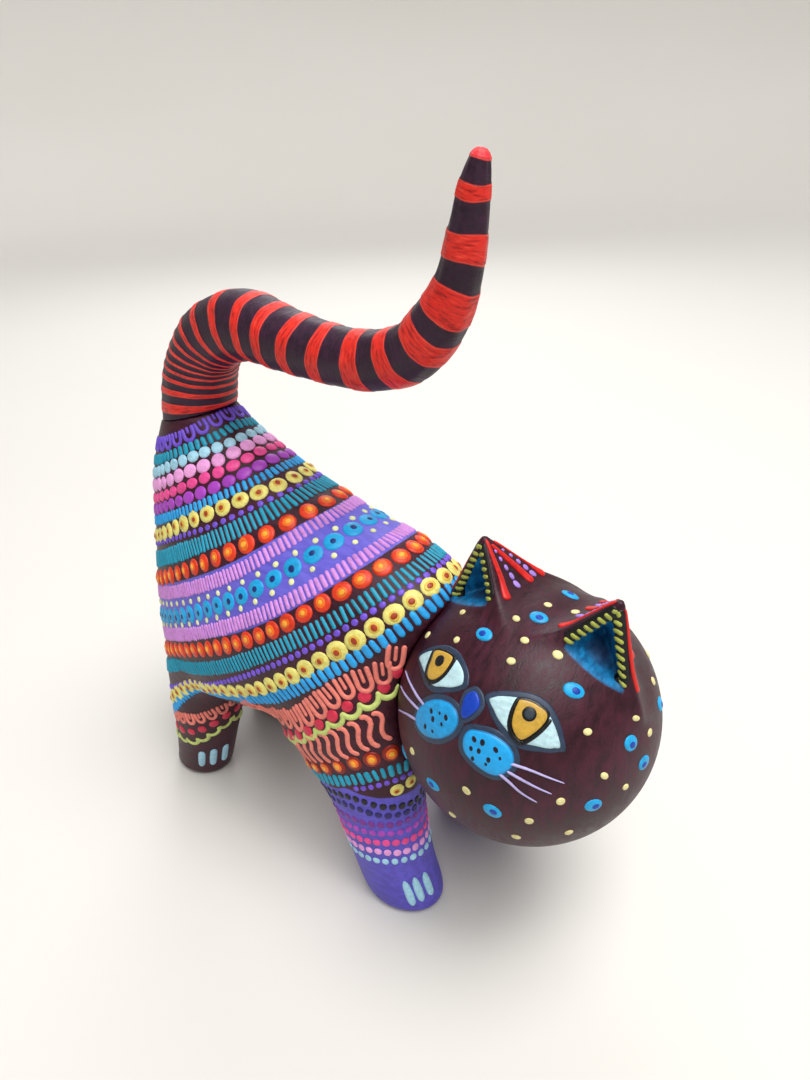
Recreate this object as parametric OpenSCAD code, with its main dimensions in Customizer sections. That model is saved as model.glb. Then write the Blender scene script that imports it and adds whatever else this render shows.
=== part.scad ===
// Carved wooden cat figure, standing on four legs, with a ball head turned to
// its right and an S-shaped tail that pulls off on a round peg.
// +Z is up, -Y is where the chest points, +X is the cat's left.
// Every length is in millimetres.

/* [Body] */
// Width factor of the torso
torso_width = 1; // [0.94:0.01:1.06]
// Thickness factor of the four legs
leg_thickness = 1; // [0.92:0.01:1.06]
// How far the right front leg's middle lies from the midplane
front_leg_x = 13.2; // [12.6:0.1:14.2]
// How much further out the left front leg stands
front_left_extra = 0.5; // [0:0.1:1.6]
// How far the right hind leg's middle lies from the midplane
hind_leg_x = 12; // [11.4:0.1:13]
// How much further out the left hind leg stands
hind_left_extra = 1.6; // [0:0.1:2]
// Radius of the flat seat that the tail stands on
seat_r = 7.9; // [7.6:0.1:8.2]

/* [Head] */
// Radius of the ball head
head_r = 23; // [22.6:0.1:23.4]
// Turn of the head to the cat's right, in degrees
head_turn = 90; // [80:1:96]
// How far the face looks up, in degrees
head_lift = 37; // [30:1:42]
// Sideways tilt of the face, in degrees
head_tilt = 8; // [0:1:12]
// Distance from the ball's middle to an ear tip, as a factor of its radius
ear_reach = 1.4; // [1.3:0.01:1.46]
// Depth of the hollow in each ear
ear_hollow = 2.6; // [1.6:0.1:3]

/* [Tail] */
// Thickness factor of the tail
tail_thickness = 1; // [0.95:0.01:1.05]
// Gap between the tail and the seat that it stands on
tail_gap = 0.15; // [0.02:0.01:0.3]

/* [Pegs] */
// Radius of the tail's round peg
tail_peg_r = 2.5; // [2:0.1:3]
// Length of tail peg that plugs into the rump
tail_peg_in_body = 13; // [10:0.5:15]
// Length of tail peg that is glued into the tail
tail_peg_in_tail = 8; // [5:0.5:9]
// Running clearance of the tail peg in the rump, on the radius
peg_clearance = 0.06; // [0.02:0.01:0.1]
// Radius of the neck dowel
neck_peg_r = 3; // [2:0.1:4]
// Length of neck dowel in the chest
neck_peg_in_body = 10; // [6:0.5:14]
// Length of neck dowel in the head
neck_peg_in_head = 9; // [6:0.5:12]
// Rise of the neck dowel from the head to the chest, in degrees
neck_rise = 12; // [5:1:20]

/* [Smoothness] */
// Sides around the torso
torso_sides = 40; // [24:4:44]
// Sides around a leg or the tail
limb_sides = 24; // [16:4:28]

/* [Hidden] */

// The figure's footprint box is centred on the origin, so all the points
// below, measured from the middle of the torso, are moved back by this much.
shift_y = 20.2;

maroon = [0.25, 0.11, 0.17];
tail_red = [0.72, 0.13, 0.10];
copal = [0.80, 0.66, 0.46];

// A ring is [x, y, z, half width, half depth, rise]: an ellipse whose middle
// is at x, y, z, whose width lies along X, and whose depth points forward and
// rises by so many degrees.
torso_rings = [
    [0,  21.8, 89.7, seat_r, seat_r, 12],
    [0,  21,   81.2, 10.8, 14.4, 21],
    [0,  16,   70.6, 14.8, 22.6, 25],
    [0,  12.5, 62,   17.8, 29.8, 30],
    [0,   8.7, 54.4, 20,   36.4, 33],
    [0,   3.2, 49.5, 21.6, 41.3, 33],
    [0,  -5,   44.2, 22.2, 42,   31],
    [0, -11.5, 39.6, 19.5, 35,   26],
    [0, -13.5, 34.5, 13,   27,   20],
    [0, -13,   31.8,  4,   17.8, 17],
];

front_leg_rings = [
    [0,    -36,   0,   5.4,  6.4,  0],
    [0,    -36.4, 1.2, 6.5,  8.6,  0],
    [0,    -35.7, 4,   7,    9.1,  0],
    [0,    -34.2, 9,   7.3,  8.9,  2],
    [0,    -32.4, 17,  7.8,  9.2,  8],
    [-0.2, -30.5, 25,  8.2, 10.7, 16],
    [-0.7, -26.5, 33,  8.6, 14,   24],
    [-1.7, -22.8, 41,  9.7, 15,   30],
    [-4.2, -22,   49,  7,    9,   30],
    [-4.2, -22,   53,  2,    3,   30],
];

hind_leg_rings = [
    [0,   28.2, 0,   4.6,  5.6,  0],
    [0,   28,   1,   6,    7.4,  0],
    [0,   26.8, 4,   6.5,  7.6,  3],
    [0,   24.8, 10,  7,    8.2, 10],
    [-0.2, 22.8, 17, 7.5,  9.4, 18],
    [-0.8, 22.5, 25, 7.5, 11,   26],
    [-2.2, 22,   35, 8,   12,   30],
    [-4,  20,   42,  6,    8,   30],
    [-4,  20,   46,  2,    3,   30],
];

// The tail's middle line in the midplane, with its radius: [y, z, radius]
tail_line = [
    [21.5,  89.7, 7.8],
    [19.4,  96.9, 7.4],
    [16.6, 102.2, 6.9],
    [12.2, 106.2, 6.6],
    [3.3,  108.8, 6.5],
    [-7.7, 107,   5.6],
    [-18.9, 105.8, 5.1],
    [-27.7, 106.2, 5],
    [-34.7, 108.6, 4.8],
    [-39.8, 113.8, 4.4],
    [-43.3, 119.9, 3.5],
    [-45,  126.7, 2.9],
    [-46,  132.1, 2.3],
    [-46.9, 135.4, 1.6],
    [-47.3, 136.7, 0.7],
];

head_c = [0, -56.6, 47.3];
seat_c = [0, 21.8, 89.7];
seat_rise = 12;

// A point on a smooth curve between keys b and c, where t runs from 0 to 1
function between(a, b, c, d, t) =
    0.5 * (2 * b + (c - a) * t + (2 * a - 5 * b + 4 * c - d) * t * t
           + (3 * b - a - 3 * c + d) * t * t * t);

// All the rings of a loft: n of them from each key to the next
function smooth(k, n) = let (last = len(k) - 1) concat(
    [for (i = [0 : last - 1], j = [0 : n - 1])
        between(k[max(i - 1, 0)], k[i], k[i + 1], k[min(i + 2, last)], j / n)],
    [k[last]]);

function ring_points(r, sides) = [for (j = [0 : sides - 1])
    let (a = 360 * j / sides, d = r[4] * sin(a))
    [r[0] + r[3] * cos(a), r[1] - d * cos(r[5]), r[2] + d * sin(r[5])]];

// A closed skin through rings whose keys run upwards. Where they run
// downwards, flip turns the faces round.
module loft(keys, n, sides, flip = false) {
    rings = smooth(keys, n);
    rows = len(rings);
    points = [for (r = rings) each ring_points(r, sides)];
    quads = [for (i = [0 : rows - 2], j = [0 : sides - 1])
        let (a = i * sides + j, b = i * sides + (j + 1) % sides)
        each [[a, b, b + sides], [a, b + sides, a + sides]]];
    first = [for (j = [sides - 1 : -1 : 0]) j];
    top = [for (j = [0 : sides - 1]) (rows - 1) * sides + j];
    faces = concat(quads, [first, top]);
    polyhedron(points, flip ? [for (f = faces) [for (q = [len(f) - 1 : -1 : 0]) f[q]]] : faces);
}

// Moves and widens the leg keys: side is 1 for left and -1 for right
function placed(keys, side, x) = [for (k = keys)
    [side * (x + k[0]), k[1], k[2], k[3] * leg_thickness, k[4] * leg_thickness, k[5]]];

function widened(keys, f) = [for (i = [0 : len(keys) - 1])
    let (k = keys[i]) i == 0 ? k : [k[0], k[1], k[2], k[3] * f, k[4], k[5]]];

// Rings across the tail: each one stands square to the middle line
function tail_rise(i) = let (
        last = len(tail_line) - 1,
        p = tail_line[max(i - 1, 0)], q = tail_line[min(i + 1, last)])
    i == 0 ? seat_rise
    : let (a = atan2(q[0] - p[0], q[1] - p[1])) a;

tail_rings = [for (i = [0 : len(tail_line) - 1]) let (k = tail_line[i])
    [0, k[0], k[1], k[2] * tail_thickness, k[2] * tail_thickness, tail_rise(i)]];

module in_place() translate([0, shift_y, 0]) children();

// From the ball's middle, straight up the neck dowel
module along_neck() translate(head_c) rotate([-90 + neck_rise, 0, 0]) children();

module head_frame() translate(head_c)
    rotate([0, 0, -head_turn]) rotate([-head_lift, 0, 0]) rotate([0, head_tilt, 0]) children();

// A direction from the ball's middle: turned out by az, raised by el
function look(az, el) = [cos(el) * sin(az), -cos(el) * cos(az), sin(el)];

// Torso, four legs, the seat for the tail and the cup for the head
module body() color(maroon) in_place() difference() {
    resize([0, 0, 0]) difference() {
        union() {
            loft(widened(torso_rings, torso_width), 4, torso_sides, true);
            for (side = [-1, 1]) {
                loft(placed(front_leg_rings, side,
                     front_leg_x + (side > 0 ? front_left_extra : 0)), 2, limb_sides);
                loft(placed(hind_leg_rings, side,
                     hind_leg_x + (side > 0 ? hind_left_extra : 0)), 2, limb_sides);
            }
        }
        translate(head_c) sphere(r = head_r + 0.2, $fn = 48);
    }
    translate([seat_c[0], seat_c[1], seat_c[2] - tail_peg_in_body - 1])
        cylinder(r = tail_peg_r + peg_clearance, h = tail_peg_in_body + 12, $fn = 64);
    along_neck() translate([0, 0, head_r - 8])
        cylinder(r = neck_peg_r + 0.02, h = neck_peg_in_body + 8.5, $fn = 64);
}

// One ear: a thin pyramid with a hollow front
module ear_solid() {
    hull() {
        translate(look(21, 41) * (head_r - 0.4)) sphere(r = 1.5, $fn = 32);
        translate(look(58.5, 33) * (head_r - 0.2)) sphere(r = 1.5, $fn = 32);
        translate(look(52, 66) * (head_r - 3)) sphere(r = 3, $fn = 32);
        translate(look(34.5, 46.7) * (head_r * ear_reach)) sphere(r = 0.9, $fn = 32);
    }
}

// The front face of an ear points this way
ear_out = [0.352, -0.808, -0.473];

module ear_recess() {
    hull() {
        translate(look(25, 41) * (head_r + 0.5) + ear_out * 2) sphere(r = 0.6, $fn = 24);
        translate(look(54, 34) * (head_r + 0.5) + ear_out * 2) sphere(r = 0.6, $fn = 24);
        translate(look(35, 46.2) * (head_r * ear_reach - 2.6) + ear_out * 2) sphere(r = 0.6, $fn = 24);
        translate(look(38, 43) * (head_r + 2) - ear_out * (ear_hollow - 0.8)) sphere(r = 0.8, $fn = 24);
    }
}

module head() color(maroon) in_place() difference() {
    union() {
        translate(head_c) sphere(r = head_r, $fn = 128);
        head_frame() ear_solid();
        head_frame() mirror([1, 0, 0]) ear_solid();
    }
    head_frame() ear_recess();
    head_frame() mirror([1, 0, 0]) ear_recess();
    along_neck() translate([0, 0, head_r - neck_peg_in_head - 0.5])
        cylinder(r = neck_peg_r + 0.02, h = neck_peg_in_head + 8, $fn = 64);
}

module tail() color(tail_red) in_place() difference() {
    translate([0, 0, tail_gap]) resize([0, 0, 0]) loft(tail_rings, 3, limb_sides);
    translate([seat_c[0], seat_c[1], seat_c[2] - 6])
        cylinder(r = tail_peg_r + 0.02, h = tail_peg_in_tail + 6.5, $fn = 64);
}

// A round peg with eased ends, standing on z = 0
module peg(r, h) rotate_extrude($fn = 64)
    polygon([[0, 0], [r - 0.5, 0], [r, 0.5], [r, h - 0.5], [r - 0.5, h], [0, h]]);

module tail_peg() color(copal) in_place()
    translate([seat_c[0], seat_c[1], seat_c[2] - tail_peg_in_body])
        peg(tail_peg_r, tail_peg_in_body + tail_peg_in_tail);

module neck_peg() color(copal) in_place() along_neck()
    translate([0, 0, head_r - neck_peg_in_head]) peg(neck_peg_r, neck_peg_in_head + neck_peg_in_body);

body();
head();
tail();
tail_peg();
neck_peg();
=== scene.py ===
import math

import bpy
import numpy as np
from mathutils import Matrix, Vector


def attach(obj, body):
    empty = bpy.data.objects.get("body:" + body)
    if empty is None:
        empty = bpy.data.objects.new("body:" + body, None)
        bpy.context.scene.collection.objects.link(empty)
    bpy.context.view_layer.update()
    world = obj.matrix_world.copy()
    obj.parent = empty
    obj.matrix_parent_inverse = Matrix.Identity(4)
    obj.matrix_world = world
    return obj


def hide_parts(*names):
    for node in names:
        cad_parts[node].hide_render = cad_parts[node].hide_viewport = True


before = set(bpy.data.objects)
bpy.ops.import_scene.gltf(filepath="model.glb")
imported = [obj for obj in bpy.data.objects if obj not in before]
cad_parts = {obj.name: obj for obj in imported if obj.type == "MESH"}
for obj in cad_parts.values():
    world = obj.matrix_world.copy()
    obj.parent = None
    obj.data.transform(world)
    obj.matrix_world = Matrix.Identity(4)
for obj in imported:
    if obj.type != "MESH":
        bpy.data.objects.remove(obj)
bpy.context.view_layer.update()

rng = np.random.default_rng(7)
SH = 20.2
MM = 0.001


# ---------------------------------------------------------------- curves
def cr(K, s):
    K = np.asarray(K, float)
    s = np.asarray(s, float)
    n = len(K)
    i = np.clip(np.floor(s).astype(int), 0, n - 2)
    t = (s - i)[..., None]
    p0, p1, p2, p3 = K[np.maximum(i - 1, 0)], K[i], K[i + 1], K[np.minimum(i + 2, n - 1)]
    return 0.5 * (2 * p1 + (p2 - p0) * t + (2 * p0 - 5 * p1 + 4 * p2 - p3) * t * t
                  + (3 * p1 - p0 - 3 * p2 + p3) * t ** 3)


TORSO = np.array([
    [0, 21.8, 89.7, 7.9, 7.9, 12], [0, 21, 81.2, 10.8, 14.4, 21], [0, 16, 70.6, 14.8, 22.6, 25],
    [0, 12.5, 62, 17.8, 29.8, 30], [0, 8.7, 54.4, 20, 36.4, 33], [0, 3.2, 49.5, 21.6, 41.3, 33],
    [0, -5, 44.2, 22.2, 42, 31], [0, -11.5, 39.6, 19.5, 35, 26], [0, -13.5, 34.5, 13, 27, 20],
    [0, -13, 31.8, 4, 17.8, 17]], float)
FRONT = np.array([
    [0, -36, 0, 5.4, 6.4, 0], [0, -36.4, 1.2, 6.5, 8.6, 0], [0, -35.7, 4, 7, 9.1, 0],
    [0, -34.2, 9, 7.3, 8.9, 2], [0, -32.4, 17, 7.8, 9.2, 8], [-0.2, -30.5, 25, 8.2, 10.7, 16], [-0.7, -26.5, 33, 8.6, 14, 24],
    [-1.7, -22.8, 41, 9.7, 15, 30], [-4.2, -22, 49, 7, 9, 30], [-4.2, -22, 53, 2, 3, 30]], float)
HIND = np.array([
    [0, 28.2, 0, 4.6, 5.6, 0], [0, 28, 1, 6, 7.4, 0], [0, 26.8, 4, 6.5, 7.6, 3], [0, 24.8, 10, 7, 8.2, 10],
    [-0.2, 22.8, 17, 7.5, 9.4, 18], [-0.8, 22.5, 25, 7.5, 11, 26], [-2.2, 22, 35, 8, 12, 30], [-4, 20, 42, 6, 8, 30], [-4, 20, 46, 2, 3, 30]], float)
for K in (TORSO, FRONT, HIND):
    K[:, 1] += SH


def placed(K, side, x):
    K = K.copy()
    K[:, 0] = side * (x + K[:, 0])
    return K


LEGS = {"fr": placed(FRONT, -1, 13.2), "fl": placed(FRONT, 1, 13.7),
        "hr": placed(HIND, -1, 12.0), "hl": placed(HIND, 1, 13.6)}
HEAD_C = np.array([0, -56.6 + SH, 47.3])
SEAT_C = np.array([0, 21.8 + SH, 89.7])
HEAD_R = 23.0


# ---------------------------------------------------------------- solid fields
def loft_field(K, X, Y, Z, flat_bottom=None):
    """Distance to a loft on a grid: negative inside. Rings lie in planes that hold the X direction."""
    n = len(K)
    ss = np.linspace(0, n - 1, (n - 1) * 16 + 1)
    R = cr(K, ss)
    yy, zz = np.meshgrid(Y, Z, indexing="ij")
    r = np.radians(R[:, 5])
    g = (np.sin(r) * (yy[..., None] - R[:, 1]) + np.cos(r) * (zz[..., None] - R[:, 2]))
    up = K[-1, 2] > K[0, 2]
    if up:
        g = -g
    sign = g >= 0
    hit = sign[..., 1:] & ~sign[..., :-1]
    some = hit.any(-1)
    j = np.where(some, hit.argmax(-1), 0)
    ga = np.take_along_axis(g, j[..., None], -1)[..., 0]
    gb = np.take_along_axis(g, (j + 1)[..., None], -1)[..., 0]
    t = np.where(some, -ga / np.where(np.abs(gb - ga) < 1e-9, 1e-9, gb - ga), 0)
    before = ~some & sign[..., 0]
    after = ~some & ~sign[..., 0]
    s = np.where(some, ss[j] + t * (ss[1] - ss[0]), np.where(before, 0, n - 1))
    R = cr(K, s)
    r = np.radians(R[..., 5])
    w = -np.cos(r) * (yy - R[..., 1]) + np.sin(r) * (zz - R[..., 2])
    cap = np.where(before, g[..., 0], np.where(after, -g[..., -1], -50))
    x0, a, b = R[..., 0], np.maximum(R[..., 3], .5), np.maximum(R[..., 4], .5)
    dx = X[:, None, None] - x0
    rho = np.sqrt((dx / a) ** 2 + (w / b) ** 2) + 1e-6
    grad = np.sqrt((dx / a ** 2) ** 2 + (w / b ** 2) ** 2) / rho + 1e-6
    f = np.maximum((rho - 1) / grad, -np.minimum(a, b))
    return np.maximum(f, cap).astype(np.float32), s


def smin(a, b, k):
    h = np.maximum(k - np.abs(a - b), 0) / k
    return np.minimum(a, b) - h * h * k / 4


def smax(a, b, k):
    return -smin(-a, -b, k)


def evened(F, h):
    gx, gy, gz = np.gradient(F, h)
    return (F / np.clip(np.sqrt(gx * gx + gy * gy + gz * gz), .5, 3)).astype(np.float32)


class Solid:
    """A field on a grid, its skin, and points put on that skin."""

    def __init__(self, F, org, h):
        self.F, self.org, self.h = F, np.asarray(org, float), h

    def at(self, P):
        q = (P - self.org) / self.h
        n = np.array(self.F.shape)
        q = np.clip(q, 0, n - 1.001)
        i = q.astype(int)
        f = q - i
        x, y, z = i.T
        F = self.F
        fx, fy, fz = f.T
        c00 = F[x, y, z] * (1 - fx) + F[x + 1, y, z] * fx
        c10 = F[x, y + 1, z] * (1 - fx) + F[x + 1, y + 1, z] * fx
        c01 = F[x, y, z + 1] * (1 - fx) + F[x + 1, y, z + 1] * fx
        c11 = F[x, y + 1, z + 1] * (1 - fx) + F[x + 1, y + 1, z + 1] * fx
        return (c00 * (1 - fy) + c10 * fy) * (1 - fz) + (c01 * (1 - fy) + c11 * fy) * fz

    def grad(self, P, e=None):
        e = e or self.h
        g = np.stack([self.at(P + d) - self.at(P - d) for d in np.eye(3) * e], 1) / (2 * e)
        return g

    def normal(self, P, e=None):
        g = self.grad(P, e)
        return g / (np.linalg.norm(g, axis=1, keepdims=True) + 1e-9)

    def settle(self, P, steps=6, cap=1.5):
        P = P.copy()
        for _ in range(steps):
            g = self.grad(P)
            m = (g * g).sum(1, keepdims=True)
            d = self.at(P)[:, None] * g / np.maximum(m, .09)
            l = np.linalg.norm(d, axis=1, keepdims=True)
            P -= d * np.minimum(1, cap / np.maximum(l, 1e-9))
        return P

    def march(self, P, N, steps=10, reach=9):
        """Along N until the skin is met."""
        t = np.zeros(len(P))
        for _ in range(steps):
            Q = P + N * t[:, None]
            g = (self.grad(Q) * N).sum(1)
            t = np.clip(t - self.at(Q) / np.maximum(g, .35), -reach, reach)
        Q = P + N * t[:, None]
        return Q, t, np.abs(self.at(Q))

    def skin(self):
        F, h = self.F, self.h
        s = F < 0
        C = [(i, j, k) for i in (0, 1) for j in (0, 1) for k in (0, 1)]
        nx, ny, nz = (n - 1 for n in F.shape)
        tot = sum(s[i:i + nx, j:j + ny, k:k + nz].astype(np.int8) for i, j, k in C)
        act = (tot > 0) & (tot < 8)
        ix, iy, iz = np.nonzero(act)
        acc = np.zeros((len(ix), 3))
        cnt = np.zeros(len(ix))
        for a in C:
            for d in range(3):
                if a[d]:
                    continue
                b = list(a)
                b[d] = 1
                fa = F[ix + a[0], iy + a[1], iz + a[2]]
                fb = F[ix + b[0], iy + b[1], iz + b[2]]
                m = (fa < 0) != (fb < 0)
                t = np.where(m, fa / np.where(fa == fb, 1, fa - fb), 0)
                p = np.tile(np.array(a, float), (len(ix), 1))
                p[:, d] += t
                acc += p * m[:, None]
                cnt += m
        V = (np.stack([ix, iy, iz], 1) + acc / np.maximum(cnt, 1)[:, None]) * h + self.org
        idx = -np.ones(act.shape, np.int64)
        idx[act] = np.arange(len(ix))
        Q = []
        for d in range(3):
            e = [slice(1, -1)] * 3
            e[d] = slice(0, None)
            sa = [slice(1, -1)] * 3
            sb = [slice(1, -1)] * 3
            sa[d] = slice(0, -1)
            sb[d] = slice(1, None)
            A, B = s[tuple(sa)], s[tuple(sb)]
            i = np.stack(np.nonzero(A != B), 1)
            inside_first = A[A != B]
            i = i + 1
            i[:, d] -= 1
            u, v = (d + 1) % 3, (d + 2) % 3
            o = []
            for du, dv in ((-1, -1), (0, -1), (0, 0), (-1, 0)):
                j = i.copy()
                j[:, u] += du
                j[:, v] += dv
                o.append(idx[j[:, 0], j[:, 1], j[:, 2]])
            q = np.stack(o, 1)
            q[~inside_first] = q[~inside_first][:, ::-1]
            Q.append(q)
        Q = np.concatenate(Q)
        Q = Q[(Q >= 0).all(1)]
        P = self.settle(V, 3, .35 * h)
        return P, Q


def make_mesh(name, V, faces, smooth=True):
    me = bpy.data.meshes.new(name)
    V = np.asarray(V, float) * MM
    if isinstance(faces, np.ndarray):
        n = faces.shape[1]
        me.vertices.add(len(V))
        me.vertices.foreach_set("co", V.astype(np.float32).ravel())
        me.loops.add(faces.size)
        me.loops.foreach_set("vertex_index", faces.astype(np.int32).ravel())
        me.polygons.add(len(faces))
        me.polygons.foreach_set("loop_start", np.arange(0, faces.size, n, dtype=np.int32))
        me.update(calc_edges=True)
    else:
        me.from_pydata(V.tolist(), [], [list(map(int, f)) for f in faces])
    me.validate()
    me.polygons.foreach_set("use_smooth", np.full(len(me.polygons), smooth))
    me.update()
    ob = bpy.data.objects.new(name, me)
    bpy.context.scene.collection.objects.link(ob)
    return ob


def attribute(ob, name, values):
    a = ob.data.attributes.new(name, "FLOAT", "POINT")
    a.data.foreach_set("value", np.asarray(values, np.float32))


# ---------------------------------------------------------------- body
def grid(lo, hi, h):
    return [np.arange(a, b + h, h) for a, b in zip(lo, hi)]


HB = 0.5
BX, BY, BZ = grid((-25.5, -29, -2), (26, 63, 94), HB)
F, _ = loft_field(TORSO, BX, BY, BZ)
F = evened(F, HB)
for name, K in LEGS.items():
    G, _ = loft_field(K, BX, BY, BZ)
    F = smin(F, evened(G, HB), 6.5 if name[0] == "f" else 4)
GX, GY, GZ = BX[:, None, None], BY[None, :, None], BZ[None, None, :]
F = smax(F, -(GZ + 0 * GX + 0 * GY) + 0.02, .5)
tilt = math.radians(12)
seat = math.sin(tilt) * (GY - SEAT_C[1]) + math.cos(tilt) * (GZ - SEAT_C[2])
F = smax(F, seat + 0 * GX, .4)
to_head = np.sqrt(GX ** 2 + (GY - HEAD_C[1]) ** 2 + (GZ - HEAD_C[2]) ** 2)
F = smax(F, HEAD_R + .2 - to_head, .35)
peg = np.maximum(np.sqrt(GX ** 2 + (GY - SEAT_C[1]) ** 2) - 2.56, (SEAT_C[2] - 14) - GZ)
F = np.maximum(F, -peg)
na = np.array([0, math.cos(math.radians(12)), math.sin(math.radians(12))])
sa = (GY - HEAD_C[1]) * na[1] + (GZ - HEAD_C[2]) * na[2] + 0 * GX
ra = np.sqrt(np.maximum(to_head ** 2 - sa ** 2, 0))
F = np.maximum(F, -np.maximum(ra - 3.02, sa - 33.5))
F[[0, -1]] = F[:, [0, -1]] = F[:, :, [0, -1]] = 3
BODY = Solid(F.astype(np.float32), (BX[0], BY[0], BZ[0]), HB)
V, Q = BODY.skin()
body = make_mesh("carved_body", V, Q)


def fold(phi):
    """An angle round a ring, taken to its right-hand half, where 90 is forward, 180 the flank and 270 back."""
    p = np.mod(np.asarray(phi, float) + 90, 360) - 90
    return np.where(p < 90, 180 - p, p)


def torso_sp(P):
    """Ring number and angle of points on the torso."""
    n = len(TORSO)
    ss = np.linspace(0, n - 1, (n - 1) * 24 + 1)
    R = cr(TORSO, ss)
    r = np.radians(R[:, 5])
    s = np.zeros(len(P))
    for c in range(0, len(P), 20000):
        p = P[c:c + 20000]
        g = np.sin(r) * (p[:, 1:2] - R[:, 1]) + np.cos(r) * (p[:, 2:3] - R[:, 2])
        sg = g < 0
        hit = ~sg[:, 1:] & sg[:, :-1]
        j = np.where(hit.any(1), hit.argmax(1), 0)
        i = np.arange(len(p))
        ga, gb = g[i, j], g[i, j + 1]
        t = np.clip(-ga / np.where(np.abs(gb - ga) < 1e-9, 1, gb - ga), 0, 1)
        s[c:c + 20000] = np.where(hit.any(1), ss[j] + t * (ss[1] - ss[0]), np.where(sg[:, 0], n - 1, 0))
    R = cr(TORSO, s)
    r = np.radians(R[:, 5])
    w = -np.cos(r) * (P[:, 1] - R[:, 1]) + np.sin(r) * (P[:, 2] - R[:, 2])
    phi = np.degrees(np.arctan2(w / R[:, 4], (P[:, 0] - R[:, 0]) / R[:, 3]))
    return s, phi


A10 = [280, 215, 200, 180, 165, 150, 135, 120, 105, 90]


def curve(values, phis=A10):
    phis, values = np.array(phis, float), np.array(values, float)
    o = np.argsort(phis)
    phis, values = phis[o], values[o]

    def f(phi):
        p = fold(phi)
        acc = 0
        for d in (-8, -4, 0, 4, 8):
            acc = acc + np.interp(p + d, phis, values)
        return acc / 5
    return f


BAND_TOP = curve([2.98, 3.02, 3.06, 3.14, 3.2, 3.23, 3.18, 3.12, 3.11, 3.12])
BAND_BOT = curve([4.3, 4.34, 4.42, 4.7, 4.93, 4.96, 4.92, 4.85, 4.81, 4.78])
SOCK = curve([5.6, 5.6, 5.55, 5.52, 5.6, 5.42, 5.28, 5.14, 5.04, 4.98])

s, phi = torso_sp(V)
near = 10.0
band = np.minimum(s - BAND_TOP(phi), BAND_BOT(phi) - s) * 8.6
attribute(body, "band", np.clip(band, -3, 3))
sock = np.full(len(V), -3.0)
for side, name in ((-1, "fr"), (1, "fl")):
    K = LEGS[name]
    zz = np.linspace(0, 45, 400)
    ks = np.interp(zz, K[:, 2], np.arange(len(K)))
    R = cr(K, ks)
    m = (V[:, 0] * side > 0) & (V[:, 1] < 8) & (V[:, 2] < 36)
    p = V[m]
    x0 = np.interp(p[:, 2], R[:, 2], R[:, 0])
    y0 = np.interp(p[:, 2], R[:, 2], R[:, 1])
    rise = np.radians(np.interp(p[:, 2], R[:, 2], R[:, 5]))
    zc = p[:, 2] + (p[:, 1] - y0) * np.tan(rise)
    a = np.degrees(np.arctan2(-(p[:, 1] - y0), side * -1 * (p[:, 0] - x0)))
    k = np.interp(zc, K[:, 2], np.arange(len(K)))
    sock[m] = (SOCK(a) - k) * 8
attribute(body, "sock", np.clip(sock, -3, 3))
attribute(body, "low", V[:, 2])


# ---------------------------------------------------------------- painted strokes
class Paint:
    """Raised strokes of one colour, all closed, gathered into one mesh."""

    def __init__(self):
        self.V, self.Fc, self.tone, self.n = [], [], [], 0

    def add(self, V, faces, tone):
        self.V.append(V)
        for f in faces:
            self.Fc.append(f + self.n)
        self.tone.append(tone)
        self.n += len(V)


PAINTS = {}


def ellipse_template(n=12, wobble=0.0):
    ang = np.arange(n) * 2 * math.pi / n
    rings = [(0.0, 1.0), (0.45, .95), (0.78, .72), (0.95, .35), (1.0, 0.0), (.97, -1.0)]
    P = [[0, 0, 1.0]]
    for r, k in rings[1:]:
        P += [[r * math.cos(a), r * math.sin(a), k] for a in ang]
    P.append([0, 0, -1.0])
    tris = [[0, 1 + i, 1 + (i + 1) % n] for i in range(n)]
    quads = []
    for q in range(len(rings) - 2):
        o = 1 + q * n
        for i in range(n):
            j = (i + 1) % n
            quads.append([o + i, o + n + i, o + n + j, o + j])
    last = 1 + (len(rings) - 2) * n
    end = len(P) - 1
    tris += [[end, last + (i + 1) % n, last + i] for i in range(n)]
    return np.array(P, float), np.array(tris), np.array(quads)


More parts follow.
